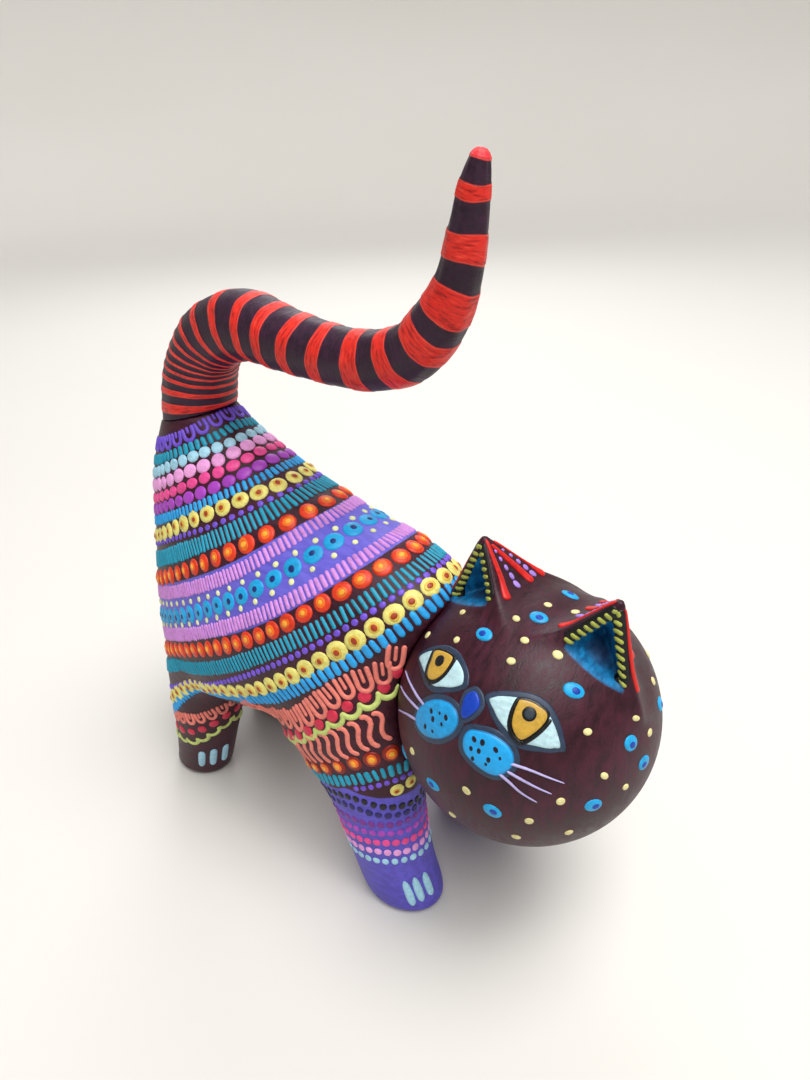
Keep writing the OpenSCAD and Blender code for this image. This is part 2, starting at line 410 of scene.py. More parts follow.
def stroke_template(points, width, ends=1.0, taper=None):
    """A brush stroke along points (mm), with round ends."""
    P = np.array(points, float)
    seg = np.linalg.norm(np.diff(P, axis=0), axis=1)
    L = np.concatenate([[0], np.cumsum(seg)])
    total = L[-1]
    hw = width / 2
    m = max(3, int(total / max(.45 * width, .28)) + 1)
    inner = np.linspace(hw * .8, total - hw * .8, m) if total > 2 * hw else np.array([total * .4, total * .6])
    at = np.concatenate([[0, hw * .3], inner, [total - hw * .3, total]])
    wd = np.concatenate([[.3, .72], np.ones(m if total > 2 * hw else 2), [.72, .3]]) * hw
    if taper is not None:
        wd = wd * np.interp(at / total, taper[0], taper[1])
    C = np.stack([np.interp(at, L, P[:, 0]), np.interp(at, L, P[:, 1])], 1)
    T = np.gradient(C, axis=0)
    T /= np.linalg.norm(T, axis=1, keepdims=True) + 1e-9
    Nn = np.stack([-T[:, 1], T[:, 0]], 1)
    prof = [(-1, 0.0), (-.72, .68), (0, 1.0), (.72, .68), (1, 0.0), (.9, -1.0), (-.9, -1.0)]
    low = np.clip(wd / hw, 0, 1) ** .5
    out = []
    for c, n, w, l in zip(C, Nn, wd, low):
        for u, k in prof:
            out.append([c[0] + n[0] * w * u, c[1] + n[1] * w * u, k * (l if k > 0 else 1)])
    k = len(prof)
    quads = []
    for i in range(len(C) - 1):
        for j in range(k):
            j2 = (j + 1) % k
            quads.append([i * k + j, (i + 1) * k + j, (i + 1) * k + j2, i * k + j2])
    a, b = 0, (len(C) - 1) * k
    quads += [[a, a + 1, a + 2, a + 3], [b + 3, b + 2, b + 1, b]]
    quads += [[a, a + 3, a + 4, a + 5], [b + 5, b + 4, b + 3, b]]
    tris = [[a, a + 5, a + 6], [b + 6, b + 5, b]]
    return np.array(out, float), np.array(tris), np.array(quads)


DOT = ellipse_template(14)


def put(solid, colour, tpl, C, T, B, w=1.0, h=1.0, H=.3, lift=0.0, sink=.18, reach=1.5):
    """Copies of a template on the skin. C, T, B are (n,3); w and h scale the template across and up."""
    if not len(C):
        return
    P, tris, quads = tpl
    n, m = len(C), len(P)
    w = np.broadcast_to(np.asarray(w, float), (n,))
    h = np.broadcast_to(np.asarray(h, float), (n,))
    H = np.broadcast_to(np.asarray(H, float), (n,))
    base = (C[:, None] + T[:, None] * (P[None, :, 0:1] * w[:, None, None])
            + B[:, None] * (P[None, :, 1:2] * h[:, None, None])).reshape(-1, 3)
    q = solid.settle(base, 4, reach)
    N = solid.normal(q, solid.h * 1.6)
    k = np.tile(P[:, 2], n)
    Hh = np.repeat(H, m)
    off = lift + np.where(k >= 0, k * Hh, -sink)
    out = q + N * off[:, None]
    pt = PAINTS.setdefault(colour, Paint())
    tone = np.repeat(rng.normal(0, 1, n), m)
    offs = (np.arange(n) * m)[:, None, None]
    faces = []
    pt.V.append(out)
    pt.Fc.append((tris[None] + offs).reshape(-1, 3) + pt.n)
    pt.Fc.append((quads[None] + offs).reshape(-1, 4) + pt.n)
    pt.tone.append(tone)
    pt.n += len(out)


def ring_point(K, s, phi, m):
    R = cr(K, s)
    r, p = np.radians(R[:, 5]), np.radians(phi)
    x = R[:, 0] + m * R[:, 3] * np.cos(p)
    d = R[:, 4] * np.sin(p)
    return np.stack([x, R[:, 1] - d * np.cos(r), R[:, 2] + d * np.sin(r)], 1)


EYE = (-97.15, -88.0, 140.0)


def step01(x, a, b):
    k = np.clip((x - a) / (b - a), 0, 1)
    return k * k * (3 - 2 * k)


def row(K, f, pitch, squeeze=None, m=1, span=(-90, 270), phase=.5, deep=2.0, at=None):
    """Places along a row: centres, tangents along and across, and how much the row is squeezed there."""
    phi = np.arange(span[0], span[1] + .01, .75)
    s = f(phi)
    P0 = ring_point(K, s, phi, m)
    e = .02
    T = ring_point(K, f(phi + 1), phi + 1, m) - ring_point(K, f(phi - 1), phi - 1, m)
    U = ring_point(K, s + .05, phi, m) - ring_point(K, s - .05, phi, m)
    N = np.cross(T, U)
    N /= np.linalg.norm(N, axis=1, keepdims=True)
    C = cr(K, s)[:, :3]
    N *= np.sign(((P0 - C) * N).sum(1, keepdims=True))
    far = np.array(EYE) * np.where(P0[:, :1] < 0, [[1, 1, 1]], [[-1, 1, 1]]) if m > 0 or K is TORSO else np.array(EYE) * [[-1, 1, 1]]
    D = far - P0
    D /= np.linalg.norm(D, axis=1, keepdims=True)
    w = step01((D * N).sum(1), -.02, .14) * step01(np.abs(P0[:, 0]), 3, 8)
    D = N * (1 - w[:, None]) + D * w[:, None]
    D /= np.linalg.norm(D, axis=1, keepdims=True)
    Q, t, err = BODY.march(P0, D, 14, 14)
    ok = (err < .15) & (np.abs(t) < deep * (1 + .6 * w))
    # where it is buried too deep the row goes on, but nothing is painted
    Q = np.where(ok[:, None], Q, P0)
    d = np.linalg.norm(np.diff(Q, axis=0), axis=1)
    d = np.where(ok[1:] & ok[:-1], d, np.linalg.norm(np.diff(P0, axis=0), axis=1))
    q = squeeze(phi) if squeeze else np.ones(len(phi))
    step = d / (pitch * (q[1:] + q[:-1]) / 2)
    Nn = np.concatenate([[0], np.cumsum(step)])
    whole = abs(span[1] - span[0]) >= 359
    cnt = max(1, int(round(Nn[-1]))) if whole else int(Nn[-1])
    Nn = Nn * cnt / Nn[-1] if whole else Nn
    want = np.arange(cnt) + phase
    want = want[want < Nn[-1]]
    if at is not None:
        want = np.interp(at, phi, Nn)
    pos = np.stack([np.interp(want, Nn, Q[:, i]) for i in range(3)], 1)
    keep = np.interp(want, Nn, ok.astype(float)) > .95
    qq = np.interp(want, Nn, q)
    ph = np.interp(want, Nn, phi)
    ti = np.stack([np.interp(want, Nn, T[:, i]) for i in range(3)], 1)
    pos = BODY.settle(pos, 4)
    nn = BODY.normal(pos, .8)
    keep &= (np.linalg.norm(pos - HEAD_C, axis=1) > HEAD_R + .9) & (pos[:, 2] > 1.2)
    cup = np.linalg.norm(pos - HEAD_C, axis=1)
    into = ((HEAD_C - pos) * nn).sum(1) / np.maximum(cup, 1)
    keep &= ~((cup < HEAD_R + 1.4) & (into > .8))
    ti -= nn * (ti * nn).sum(1, keepdims=True)
    ti /= np.linalg.norm(ti, axis=1, keepdims=True) + 1e-9
    up = np.cross(nn, ti)
    flip = np.sign(up[:, 2:3] + 1e-9)
    up *= flip
    return pos[keep], ti[keep], up[keep], qq[keep], ph[keep]


def jitter(n, k=.05):
    return 1 + rng.normal(0, k, n).clip(-2 * k, 2 * k)


def spun(T, B, k=3.0, lean=0.0):
    a = np.radians(rng.normal(0, k, len(T)) + lean)[:, None]
    return T * np.cos(a) + B * np.sin(a), B * np.cos(a) - T * np.sin(a)


def squeezed(s0):
    """Rows are painted closer together where the flank turns away."""
    a = np.interp(s0, [1.5, 3, 5], [163, 138, 140])
    lo = np.interp(s0, [1, 3, 5.5], [.74, .74, .78])

    def f(phi):
        p = fold(phi)
        return np.interp(p, [a, a + 26, 222, 262], [1, lo, lo, 1])
    return f


def dots(K, f, colour, w, h, pitch, H=.32, m=1, span=(-90, 270), phase=.5, squeeze=None, lift=0, deep=2.0, at=None):
    C, T, B, q, ph = row(K, f, pitch, squeeze, m, span, phase, deep, at)
    T, B = spun(T, B, 4)
    n = len(C)
    put(BODY, colour, DOT, C, T, B, w / 2 * q * jitter(n), h / 2 * jitter(n), H, lift)
    return C, T, B, q


def discs(K, f, colours, w, h, pitch, H=.34, sizes=(.32,), m=1, span=(-90, 270), phase=.5, squeeze=None, deep=2.0):
    C, T, B, q, ph = row(K, f, pitch, squeeze, m, span, phase, deep)
    T, B = spun(T, B, 5)
    n = len(C)
    W, Hh = w / 2 * q * jitter(n, .04), h / 2 * jitter(n, .04)
    put(BODY, colours[0], DOT, C, T, B, W, Hh, H)
    off = rng.normal(0, .05, (n, 2))
    C2 = C + T * (off[:, :1] * w) + B * (off[:, 1:] * h)
    lift = H * .86
    for c, r in zip(colours[1:], sizes):
        put(BODY, c, DOT, C2, T, B, W * r * jitter(n, .1), Hh * r * jitter(n, .1), .13, lift, .1)
        lift += .1
    return ph



def dashes(K, f, colour, w, h, pitch, H=.26, m=1, span=(-90, 270), phase=.5, squeeze=None, lean=0, deep=2.0):
    C, T, B, q, ph = row(K, f, pitch, squeeze, m, span, phase, deep)
    T, B = spun(T, B, 2.5, lean)
    n = len(C)
    tpl = stroke_template([[0, -h / 2], [0, h / 2]], w)
    put(BODY, colour, tpl, C, T, B, q * jitter(n, .09), jitter(n, .05), H * jitter(n, .08))


def shapes(K, f, colour, tpls, pitch, H=.3, m=1, span=(-90, 270), phase=.5, squeeze=None, deep=2.0):
    C, T, B, q, ph = row(K, f, pitch, squeeze, m, span, phase, deep)
    T, B = spun(T, B, 2)
    n = len(C)
    j = jitter(n, .04)
    for tpl in tpls:
        put(BODY, colour, tpl, C, T, B, q * m * j, j, H)


def c10(*v):
    return curve(v)


def c_at(pairs):
    p = np.array(pairs, float)
    return curve(p[:, 1], p[:, 0])


def arc(cx, cy, r, a0, a1, n=9, ry=None):
    ry = ry or r
    return [[cx + r * math.cos(math.radians(a)), cy + ry * math.sin(math.radians(a))] for a in np.linspace(a0, a1, n)]


T3 = TORSO
U_SMALL = [stroke_template([[-1.05, 1.5], [-1.05, .1]] + arc(0, -.1, 1.05, 180, 360, 9, 1.15) + [[1.05, .1], [1.05, 1.5]], .85),
           stroke_template([[0, .1], [0, 1.5]], .6)]
shapes(T3, c10(.5, .57, .58, .56, .53, .5, .42, .34, .3, .27), "violet", U_SMALL, 3.0, .26, squeeze=squeezed(1))
dashes(T3, c10(.8, .85, .86, .83, .8, .775, .75, .71, .66, .6), "teal", 1.05, 2.2, 1.42, .26, squeeze=squeezed(1))
dots(T3, c10(1.04, 1.08, 1.07, 1.03, 1.0, .975, .96, .97, .955, .93), "pale_blue", 2.6, 2.5, 2.7, .38, squeeze=squeezed(1))
dots(T3, c10(1.24, 1.28, 1.28, 1.265, 1.22, 1.21, 1.215, 1.19, 1.15, 1.13), "light_pink", 3.15, 2.85, 3.3, .4, squeeze=squeezed(1.2))
dots(T3, c10(1.44, 1.49, 1.48, 1.455, 1.43, 1.405, 1.4, 1.38, 1.345, 1.32), "hot_pink", 2.95, 2.35, 3.15, .36, squeeze=squeezed(1.4), phase=.2)
dots(T3, c10(1.6, 1.66, 1.65, 1.625, 1.615, 1.605, 1.6, 1.565, 1.54, 1.52), "purple", 3.15, 2.6, 3.4, .36, squeeze=squeezed(1.6))
dashes(T3, c10(1.8, 1.83, 1.82, 1.805, 1.8, 1.785, 1.76, 1.745, 1.725, 1.71), "sky", .95, 2.2, 1.32, .25, squeeze=squeezed(1.8))
discs(T3, c10(2.03, 2.1, 2.09, 2.02, 1.975, 1.975, 1.955, 1.95, 1.985, 1.965), ("yellow", "amber", "red_brown"), 3.6, 3.45, 4.0, .36, (.5, .28), squeeze=squeezed(2))
dots(T3, c10(2.2, 2.23, 2.22, 2.21, 2.235, 2.245, 2.21, 2.185, 2.175, 2.18), "violet", 1.35, 1.3, 2.1, .24, squeeze=squeezed(2.2))
dashes(T3, c10(2.5, 2.53, 2.53, 2.53, 2.54, 2.54, 2.52, 2.465, 2.425, 2.4), "teal", .76, 3.6, 1.2, .24, squeeze=squeezed(2.5), lean=-4)
discs(T3, c10(2.86, 2.9, 2.93, 2.955, 2.96, 2.975, 2.965, 2.94, 2.9, 2.885), ("red_orange", "orange", "gold"), 3.7, 3.65, 4.5, .38, (.6, .28), squeeze=squeezed(3))
dashes(T3, c10(3.1, 3.18, 3.25, 3.36, 3.44, 3.49, 3.42, 3.33, 3.28, 3.3), "pink_lav", .84, 2.9, 1.17, .25, squeeze=squeezed(3.3))
spots = discs(T3, c10(3.6, 3.7, 3.78, 3.95, 4.03, 4.08, 4.03, 3.955, 3.9, 3.86), ("cyan", "navy"), 4.0, 3.75, 4.5, .34, (.34,), squeeze=squeezed(4))
spots = np.sort(spots)
between = np.append((spots[1:] + spots[:-1]) / 2, (spots[0] + spots[-1] - 360) / 2 + 360)
between = np.where(between > 270, between - 360, between)
dots(T3, c10(3.3, 3.4, 3.5, 3.64, 3.75, 3.775, 3.745, 3.69, 3.64, 3.625), "pale_yellow", 1.2, 1.2, 4.5, .24, squeeze=squeezed(3.7), at=between)
dots(T3, c10(3.85, 3.92, 4.02, 4.2, 4.34, 4.375, 4.33, 4.26, 4.2, 4.18), "pale_yellow", 1.2, 1.25, 4.5, .24, squeeze=squeezed(4.2), at=between)
dashes(T3, c10(4.1, 4.16, 4.26, 4.52, 4.67, 4.75, 4.72, 4.65, 4.61, 4.59), "pink_lav", .88, 3.0, 1.2, .25, squeeze=squeezed(4.6))
discs(T3, c10(4.56, 4.66, 4.78, 5.02, 5.14, 5.165, 5.09, 5.03, 5.015, 5.02), ("red_orange", "orange", "gold"), 3.85, 3.5, 4.25, .38, (.6, .28), squeeze=squeezed(5))
dashes(T3, c10(5.0, 5.18, 5.33, 5.5, 5.52, 5.49, 5.45, 5.385, 5.34, 5.335), "teal", .76, 3.2, 1.35, .24, squeeze=squeezed(5.4), lean=-3, deep=6)
dots(T3, c10(5.4, 5.72, 5.82, 5.83, 5.79, 5.74, 5.655, 5.575, 5.52, 5.52), "violet", 1.45, 1.3, 1.95, .25, squeeze=squeezed(5.6), deep=9)
discs(T3, c10(5.7, 5.84, 5.94, 6.24, 6.17, 6.03, 5.91, 5.8, 5.71, 5.68), ("yellow", "amber", "red_brown"), 4.1, 3.7, 4.2, .4, (.52, .3), squeeze=squeezed(6), deep=10)
dashes(T3, c10(5.85, 5.95, 6.1, 6.6, 6.48, 6.3, 6.18, 6.07, 5.96, 5.9), "sky", 1.3, 2.9, 1.75, .32, squeeze=squeezed(6.2), deep=10)

# the legs
U_BIG = [stroke_template([[-1.3, 2.4], [-1.28, .1]] + arc(0, -.7, 1.28, 175, 365, 11, 1.5) + [[1.28, .1], [1.32, 2.4]], .95),
         stroke_template([[0, -.6], [.05, 2.2]], .68)]
S_LONG = [stroke_template([[.85, 2.95], [-.1, 2.85], [-.66, 2.1], [-.58, 1.15], [.1, .1], [.6, -1.0], [.55, -2.1], [0, -2.95], [-.55, -3.1]], .95)]
SCALLOP = [stroke_template(arc(0, 1.1, 1.95, 185, 355, 12, 1.95), 1.1)]
for name, m in (("fr", 1), ("fl", -1)):
    K = LEGS[name]
    shapes(K, c10(7.1, 7.15, 7.24, 7.42, 7.55, 7.66, 7.68, 7.64, 7.58, 7.52), "coral", U_BIG, 3.85, .34, m=m, deep=9)
    dots(K, c10(6.75, 6.8, 6.86, 7.0, 7.12, 7.24, 7.3, 7.32, 7.29, 7.25), "crimson", 2.5, 2.4, 3.85, .34, m=m, deep=9)
    shapes(K, c10(6.6, 6.7, 6.78, 6.9, 6.99, 7.07, 7.13, 7.15, 7.14, 7.1), "lime", SCALLOP, 3.85, .3, m=m, deep=9)
    shapes(K, c10(6.42, 6.46, 6.48, 6.52, 6.56, 6.6, 6.64, 6.64, 6.64, 6.63), "coral", S_LONG, 2.45, .28, m=m, deep=5)
    discs(K, c10(5.9, 5.95, 5.97, 6.03, 6.1, 6.13, 6.12, 6.11, 6.09, 6.08), ("dark_red", "orange", "gold"), 3.35, 3.2, 3.7, .34, (.66, .34), m=m)
    dashes(K, c10(5.72, 5.72, 5.72, 5.73, 5.76, 5.78, 5.79, 5.78, 5.74, 5.7), "teal", 1.05, 2.4, 1.55, .26, m=m)
    dots(K, c10(5.56, 5.56, 5.56, 5.56, 5.57, 5.56, 5.58, 5.57, 5.55, 5.53), "violet", 1.2, 1.15, 1.6, .2, m=m, span=(-60, 164))
    discs(K, c10(5.3, 5.3, 5.3, 5.3, 5.33, 5.35, 5.355, 5.355, 5.37, 5.38), ("yellow", "amber", "red_brown"), 2.75, 2.6, 3.1, .3, (.5, .28), m=m, span=(30, 141))
    dots(K, c10(5.3, 5.36, 5.38, 5.38, 5.34, 5.21, 5.07, 5.0, 4.94, 4.88), "ink", 1.48, 1.55, 1.82, .22, m=m)
    dots(K, c10(5.08, 5.12, 5.14, 5.15, 5.08, 4.95, 4.86, 4.8, 4.77, 4.74), "navy_dot", 1.48, 1.5, 1.82, .22, m=m, phase=0)
    dots(K, c10(4.74, 4.78, 4.79, 4.77, 4.71, 4.66, 4.61, 4.58, 4.57, 4.56), "plum", 1.48, 1.45, 1.82, .22, m=m)
    dots(K, c10(4.44, 4.48, 4.49, 4.48, 4.45, 4.42, 4.38, 4.34, 4.32, 4.31), "magenta", 1.5, 1.5, 1.82, .22, m=m, phase=0)
    dots(K, c10(4.12, 4.14, 4.15, 4.16, 4.16, 4.15, 4.12, 4.07, 4.04, 4.02), "hot_pink", 1.6, 1.6, 1.86, .26, m=m)
    dots(K, c10(3.82, 3.83, 3.84, 3.86, 3.89, 3.88, 3.83, 3.8, 3.79, 3.79), "light_pink", 1.6, 1.6, 1.86, .26, m=m, phase=0)
    dots(K, c10(3.57, 3.57, 3.58, 3.585, 3.6, 3.6, 3.6, 3.6, 3.58, 3.57), "pale_blue", 1.5, 1.5, 1.86, .26, m=m)
for name, m in (("hr", 1), ("hl", -1)):
    K = LEGS[name]
    shapes(K, c10(4.5, 4.5, 4.5, 4.46, 4.42, 4.4, 4.4, 4.44, 4.45, 4.5), "coral", [stroke_template([[-1.0, 1.4], [-.98, .1]] + arc(0, -.3, .98, 175, 365, 9, 1.1) + [[.98, .1], [1.0, 1.4]], .85), stroke_template([[0, -.2], [0, 1.3]], .6)], 2.9, .28, m=m, deep=4)
    dots(K, c10(4.0, 4.0, 3.98, 3.93, 3.9, 3.95, 4.02, 4.1, 4.15, 4.2), "crimson", 2.3, 1.9, 3.4, .3, m=m, deep=4)
    shapes(K, c10(3.6, 3.6, 3.57, 3.5, 3.44, 3.5, 3.64, 3.76, 3.85, 3.9), "lime", [stroke_template(arc(0, 1.0, 1.75, 185, 355, 12, 1.75), .95)], 3.4, .28, m=m, deep=4)

# claws: three strokes on the front of each paw
def claw(name, m, phi, s0, s1, w):
    K = LEGS[name]
    a = ring_point(K, np.array([s0]), np.array([phi], float), m)
    b = ring_point(K, np.array([s1]), np.array([phi], float), m)
    C = BODY.settle((a + b) / 2)
    N = BODY.normal(C)
    B = b - a
    L = np.linalg.norm(B)
    B = B - N * (B * N).sum()
    B /= np.linalg.norm(B)
    T = np.cross(B, N)
    tpl = stroke_template([[0, -L / 2], [0, L / 2]], w, taper=([0, .4, .75, 1], [.8, 1.0, .88, .4] if name[0] == "f" else [.85, 1.0, 1.0, .85]))
    put(BODY, "pale_blue", tpl, C, T, B, 1, 1, .42)


for name, m in (("fr", 1), ("fl", -1)):
    for phi, s0, s1 in ((133.6, 1.75, 2.98), (118.5, 1.95, 3.03), (101, 2.05, 3.03)):
        claw(name, m, phi, s0, s1, 1.75)
for name, m in (("hr", 1), ("hl", -1)):
    for phi, s0, s1 in ((144.5, 1.95, 2.87), (122, 1.95, 2.88), (97, 1.95, 2.84)):
        claw(name, m, phi, s0, s1, 1.8)
BODY_PAINT, PAINTS = PAINTS, {}


# ---------------------------------------------------------------- head
def rot(axis, deg):
    return np.array(Matrix.Rotation(math.radians(deg), 3, axis))


HR = rot("Z", -90) @ rot("X", -37) @ rot("Y", 8)


def look(az, el, r=1.0):
    az, el = np.radians(az), np.radians(el)
    return np.stack([np.cos(el) * np.sin(az), -np.cos(el) * np.cos(az), np.sin(el) + 0 * az], -1) * r


def hull_field(P, centres, radii, k):
    """Smooth distance to the hull of four balls."""
    c = np.array(centres, float)
    mid = c.mean(0)
    out = None
    for i in range(4):
        j = [x for x in range(4) if x != i]
        p, r = c[j], np.array(radii, float)[j]
        e1, e2 = p[1] - p[0], p[2] - p[0]
        n0 = np.cross(e1, e2)
        n0 /= np.linalg.norm(n0)
        if np.dot(mid - p[0], n0) > 0:
            n0 = -n0
        A = np.array([[e1 @ e1, e1 @ e2], [e1 @ e2, e2 @ e2]])
        x = np.linalg.solve(A, [r[0] - r[1], r[0] - r[2]])
        u = x[0] * e1 + x[1] * e2
        n = u + n0 * math.sqrt(max(0, 1 - u @ u))
        d = P @ n - (p[0] @ n + r[0])
        out = d if out is None else smax(out, d, k)
    return out


HH = 0.4
hx, hy, hz = grid((-24.5, HEAD_C[1] - 24.5, 22.5), (24.5, HEAD_C[1] + 24.5, 81), HH)
HGX, HGY, HGZ = np.meshgrid(hx, hy, hz, indexing="ij")
HP = np.stack([HGX, HGY, HGZ], -1).reshape(-1, 3) - HEAD_C
HL = (HP @ HR).astype(np.float32)
ball = np.linalg.norm(HL, axis=1) - HEAD_R
OUT = np.array([0.352, -0.808, -0.473])
hollow_all = None
front_all = None
F = ball
for mx in (1, -1):
    L = HL * np.array([mx, 1, 1], np.float32)
    ear = hull_field(L, [look(21, 41, HEAD_R - .4), look(58.5, 33, HEAD_R - .2), look(52, 66, HEAD_R - 3), look(34.5, 46.7, 1.4 * HEAD_R)], [1.5, 1.5, 3, .9], 1.3)
    F = smin(F, ear, 3.2)
for mx in (1, -1):
    L = HL * np.array([mx, 1, 1], np.float32)
    hol = hull_field(L, [look(24.5, 40.5, HEAD_R + .5) + OUT * 2.4, look(55, 33.3, HEAD_R + .5) + OUT * 2.4,
                         look(35, 46.2, 1.4 * HEAD_R - 2.2) + OUT * 2.4, look(38.5, 43.5, HEAD_R + 1.6) - OUT * 2.6], [.6, .6, .6, 1.0], .9)
    F = smax(F, -hol, .5)
    hollow_all = hol if hollow_all is None else np.minimum(hollow_all, hol)
F = F.reshape(HGX.shape)
hs = ((HP @ na)).reshape(HGX.shape)
hr = np.sqrt(np.maximum((HP ** 2).sum(1).reshape(HGX.shape) - hs ** 2, 0))
F = np.maximum(F, -np.maximum(hr - 3.02, 13.5 - hs))
F[[0, -1]] = F[:, [0, -1]] = F[:, :, [0, -1]] = 3
HEAD = Solid(F.astype(np.float32), (hx[0], hy[0], hz[0]), HH)
HOL = Solid(hollow_all.reshape(HGX.shape).astype(np.float32), (hx[0], hy[0], hz[0]), HH)
V, Q = HEAD.skin()
head = make_mesh("ball_head", V, Q)
hl = (V - HEAD_C) @ HR
hollow = HOL.at(V)
rad = np.linalg.norm(hl, axis=1)
attribute(head, "hollow", np.clip(hollow, -2, 4))
attribute(head, "rad", rad)


def hw(P):
    return np.atleast_2d(P) @ HR.T + HEAD_C


def on_head(az, el):
    return HEAD.settle(hw(look(az, el, HEAD_R)), 4)


def tangents(az, el):
    """Right (towards greater az) and up on the ball at a direction."""
    d = look(az, el)
    a = look(az + 1, el) - d
    a /= np.linalg.norm(a)
    b = look(az, el + 1) - d
    b /= np.linalg.norm(b)
    return hw(a) - HEAD_C, hw(b) - HEAD_C


def head_dot(colour, az, el, w, h, H=.3, lift=0, turn=0.0):
    C = on_head(az, el)
    T, B = tangents(az, el)
    a = math.radians(turn)
    T, B = T * math.cos(a) + B * math.sin(a), B * math.cos(a) - T * math.sin(a)
    put(HEAD, colour, DOT, C, T, B, w / 2, h / 2, H, lift, .12 if lift else .18)


def blob(colour, outline, H=.25, lift=0.0, rings=(.35, .62, .84, .95), n=40, smooth=True, solid=None):
    """A filled painted shape whose outline is given as directions (az, el)."""
    solid = solid or HEAD
    o = np.array(outline, float)
    k = len(o)
    t = np.arange(n) * k / n
    i = t.astype(int)
    f = (t - i)[:, None]
    if smooth:
        p0, p1, p2, p3 = o[(i - 1) % k], o[i % k], o[(i + 1) % k], o[(i + 2) % k]
        b = .5 * (2 * p1 + (p2 - p0) * f + (2 * p0 - 5 * p1 + 4 * p2 - p3) * f * f + (3 * p1 - p0 - 3 * p2 + p3) * f ** 3)
    else:
        b = o[i % k] * (1 - f) + o[(i + 1) % k] * f
    c = b.mean(0)
    P, kk = [c], [1.0]
    heights = {.35: 1.0, .62: .98, .84: .92, .95: .72}
    for r in rings:
        P += list(c + (b - c) * r)
        kk += [heights.get(r, .9)] * n
    P += list(b)
    kk += [0.0] * n
    P += list(c + (b - c) * .98)
    kk += [-1.0] * n
    P.append(c)
    kk.append(-1.0)
    P = np.array(P)
    W = HEAD.settle(hw(look(P[:, 0], P[:, 1], HEAD_R)), 4)
    N = HEAD.normal(W, .7)
    kk = np.array(kk)
    off = lift + np.where(kk >= 0, kk * H, -(.12 if lift else .2))
    out = W + N * off[:, None]
    area = 0
    tris = [[0, 1 + a, 1 + (a + 1) % n] for a in range(n)]
    quads = []
    m = len(rings) + 2
    for q in range(m - 1):
        s0 = 1 + q * n
        for a in range(n):
            e = (a + 1) % n
            quads.append([s0 + a, s0 + n + a, s0 + n + e, s0 + e])
    last, end = 1 + (m - 1) * n, len(P) - 1
    tris += [[end, last + (a + 1) % n, last + a] for a in range(n)]
    tris, quads = np.array(tris), np.array(quads)
    a, bb = b, np.roll(b, -1, 0)
    if (a[:, 0] * bb[:, 1] - a[:, 1] * bb[:, 0]).sum() < 0:
        tris, quads = tris[:, ::-1], quads[:, ::-1]
    pt = PAINTS.setdefault(colour, Paint())
    pt.V.append(out)
    pt.Fc += [tris + pt.n, quads + pt.n]
    pt.tone.append(np.full(len(out), rng.normal()))
    pt.n += len(out)


def head_stroke(colour, path, width, H=.22, lift=0.0, taper=None, local=None, solid=None, smooth=True):
    """A brush stroke along directions (az, el), or along points of the head's own frame."""
    P = hw(look(np.array(path, float)[:, 0], np.array(path, float)[:, 1], HEAD_R)) if local is None else hw(np.array(local, float))
    if smooth and len(P) > 2:
        P = cr(P, np.linspace(0, len(P) - 1, 8 * (len(P) - 1) + 1))
    seg = np.linalg.norm(np.diff(P, axis=0), axis=1)
    L = np.concatenate([[0], np.cumsum(seg)])
    n = max(5, int(L[-1] / .45))
    at = np.linspace(0, L[-1], n)
    at = np.concatenate([[0, min(width * .15, at[1] * .4)], at[1:-1], [L[-1] - min(width * .15, at[1] * .4), L[-1]]])
    C = np.stack([np.interp(at, L, P[:, i]) for i in range(3)], 1)
    C = HEAD.settle(C, 5)
    N = HEAD.normal(C, .8)
    T = np.gradient(C, axis=0)
    T /= np.linalg.norm(T, axis=1, keepdims=True) + 1e-9
    S = np.cross(N, T)
    wd = np.full(len(at), width / 2)
    if taper is not None:
        wd = wd * np.interp(at / L[-1], taper[0], taper[1])
    wd[0] *= .35
    wd[1] *= .75
    wd[-1] *= .35
    wd[-2] *= .75
    prof = [(-1, 0.0), (-.72, .68), (0, 1.0), (.72, .68), (1, 0.0), (.9, -1.0), (-.9, -1.0)]
    k = len(prof)
    base, kk = [], []
    for u, q in prof:
        base.append(C + S * (wd * u)[:, None])
        kk.append(np.full(len(C), q))
    base = np.stack(base, 1).reshape(-1, 3)
    kk = np.stack(kk, 1).reshape(-1)
    q = HEAD.settle(base, 3, .6)
    NN = HEAD.normal(q, .7)
    thin = np.repeat(np.clip(wd / (width / 2), .25, 1) ** .5, k)
    out = q + NN * (lift + np.where(kk >= 0, kk * H * thin, -.15))[:, None]
    quads = []
    for i in range(len(C) - 1):
        for j in range(k):
            e = (j + 1) % k
            quads.append([i * k + j, i * k + e, (i + 1) * k + e, (i + 1) * k + j])
    b = (len(C) - 1) * k
    quads += [[3, 2, 1, 0], [b, b + 1, b + 2, b + 3], [5, 4, 3, 0], [b, b + 3, b + 4, b + 5]]
    tris = [[6, 5, 0], [b, b + 5, b + 6]]
    pt = PAINTS.setdefault(colour, Paint())
    pt.V.append(out)
    pt.Fc += [np.array(tris)[:, ::-1] + pt.n, np.array(quads)[:, ::-1] + pt.n]
    pt.tone.append(np.full(len(out), rng.normal()))
    pt.n += len(out)


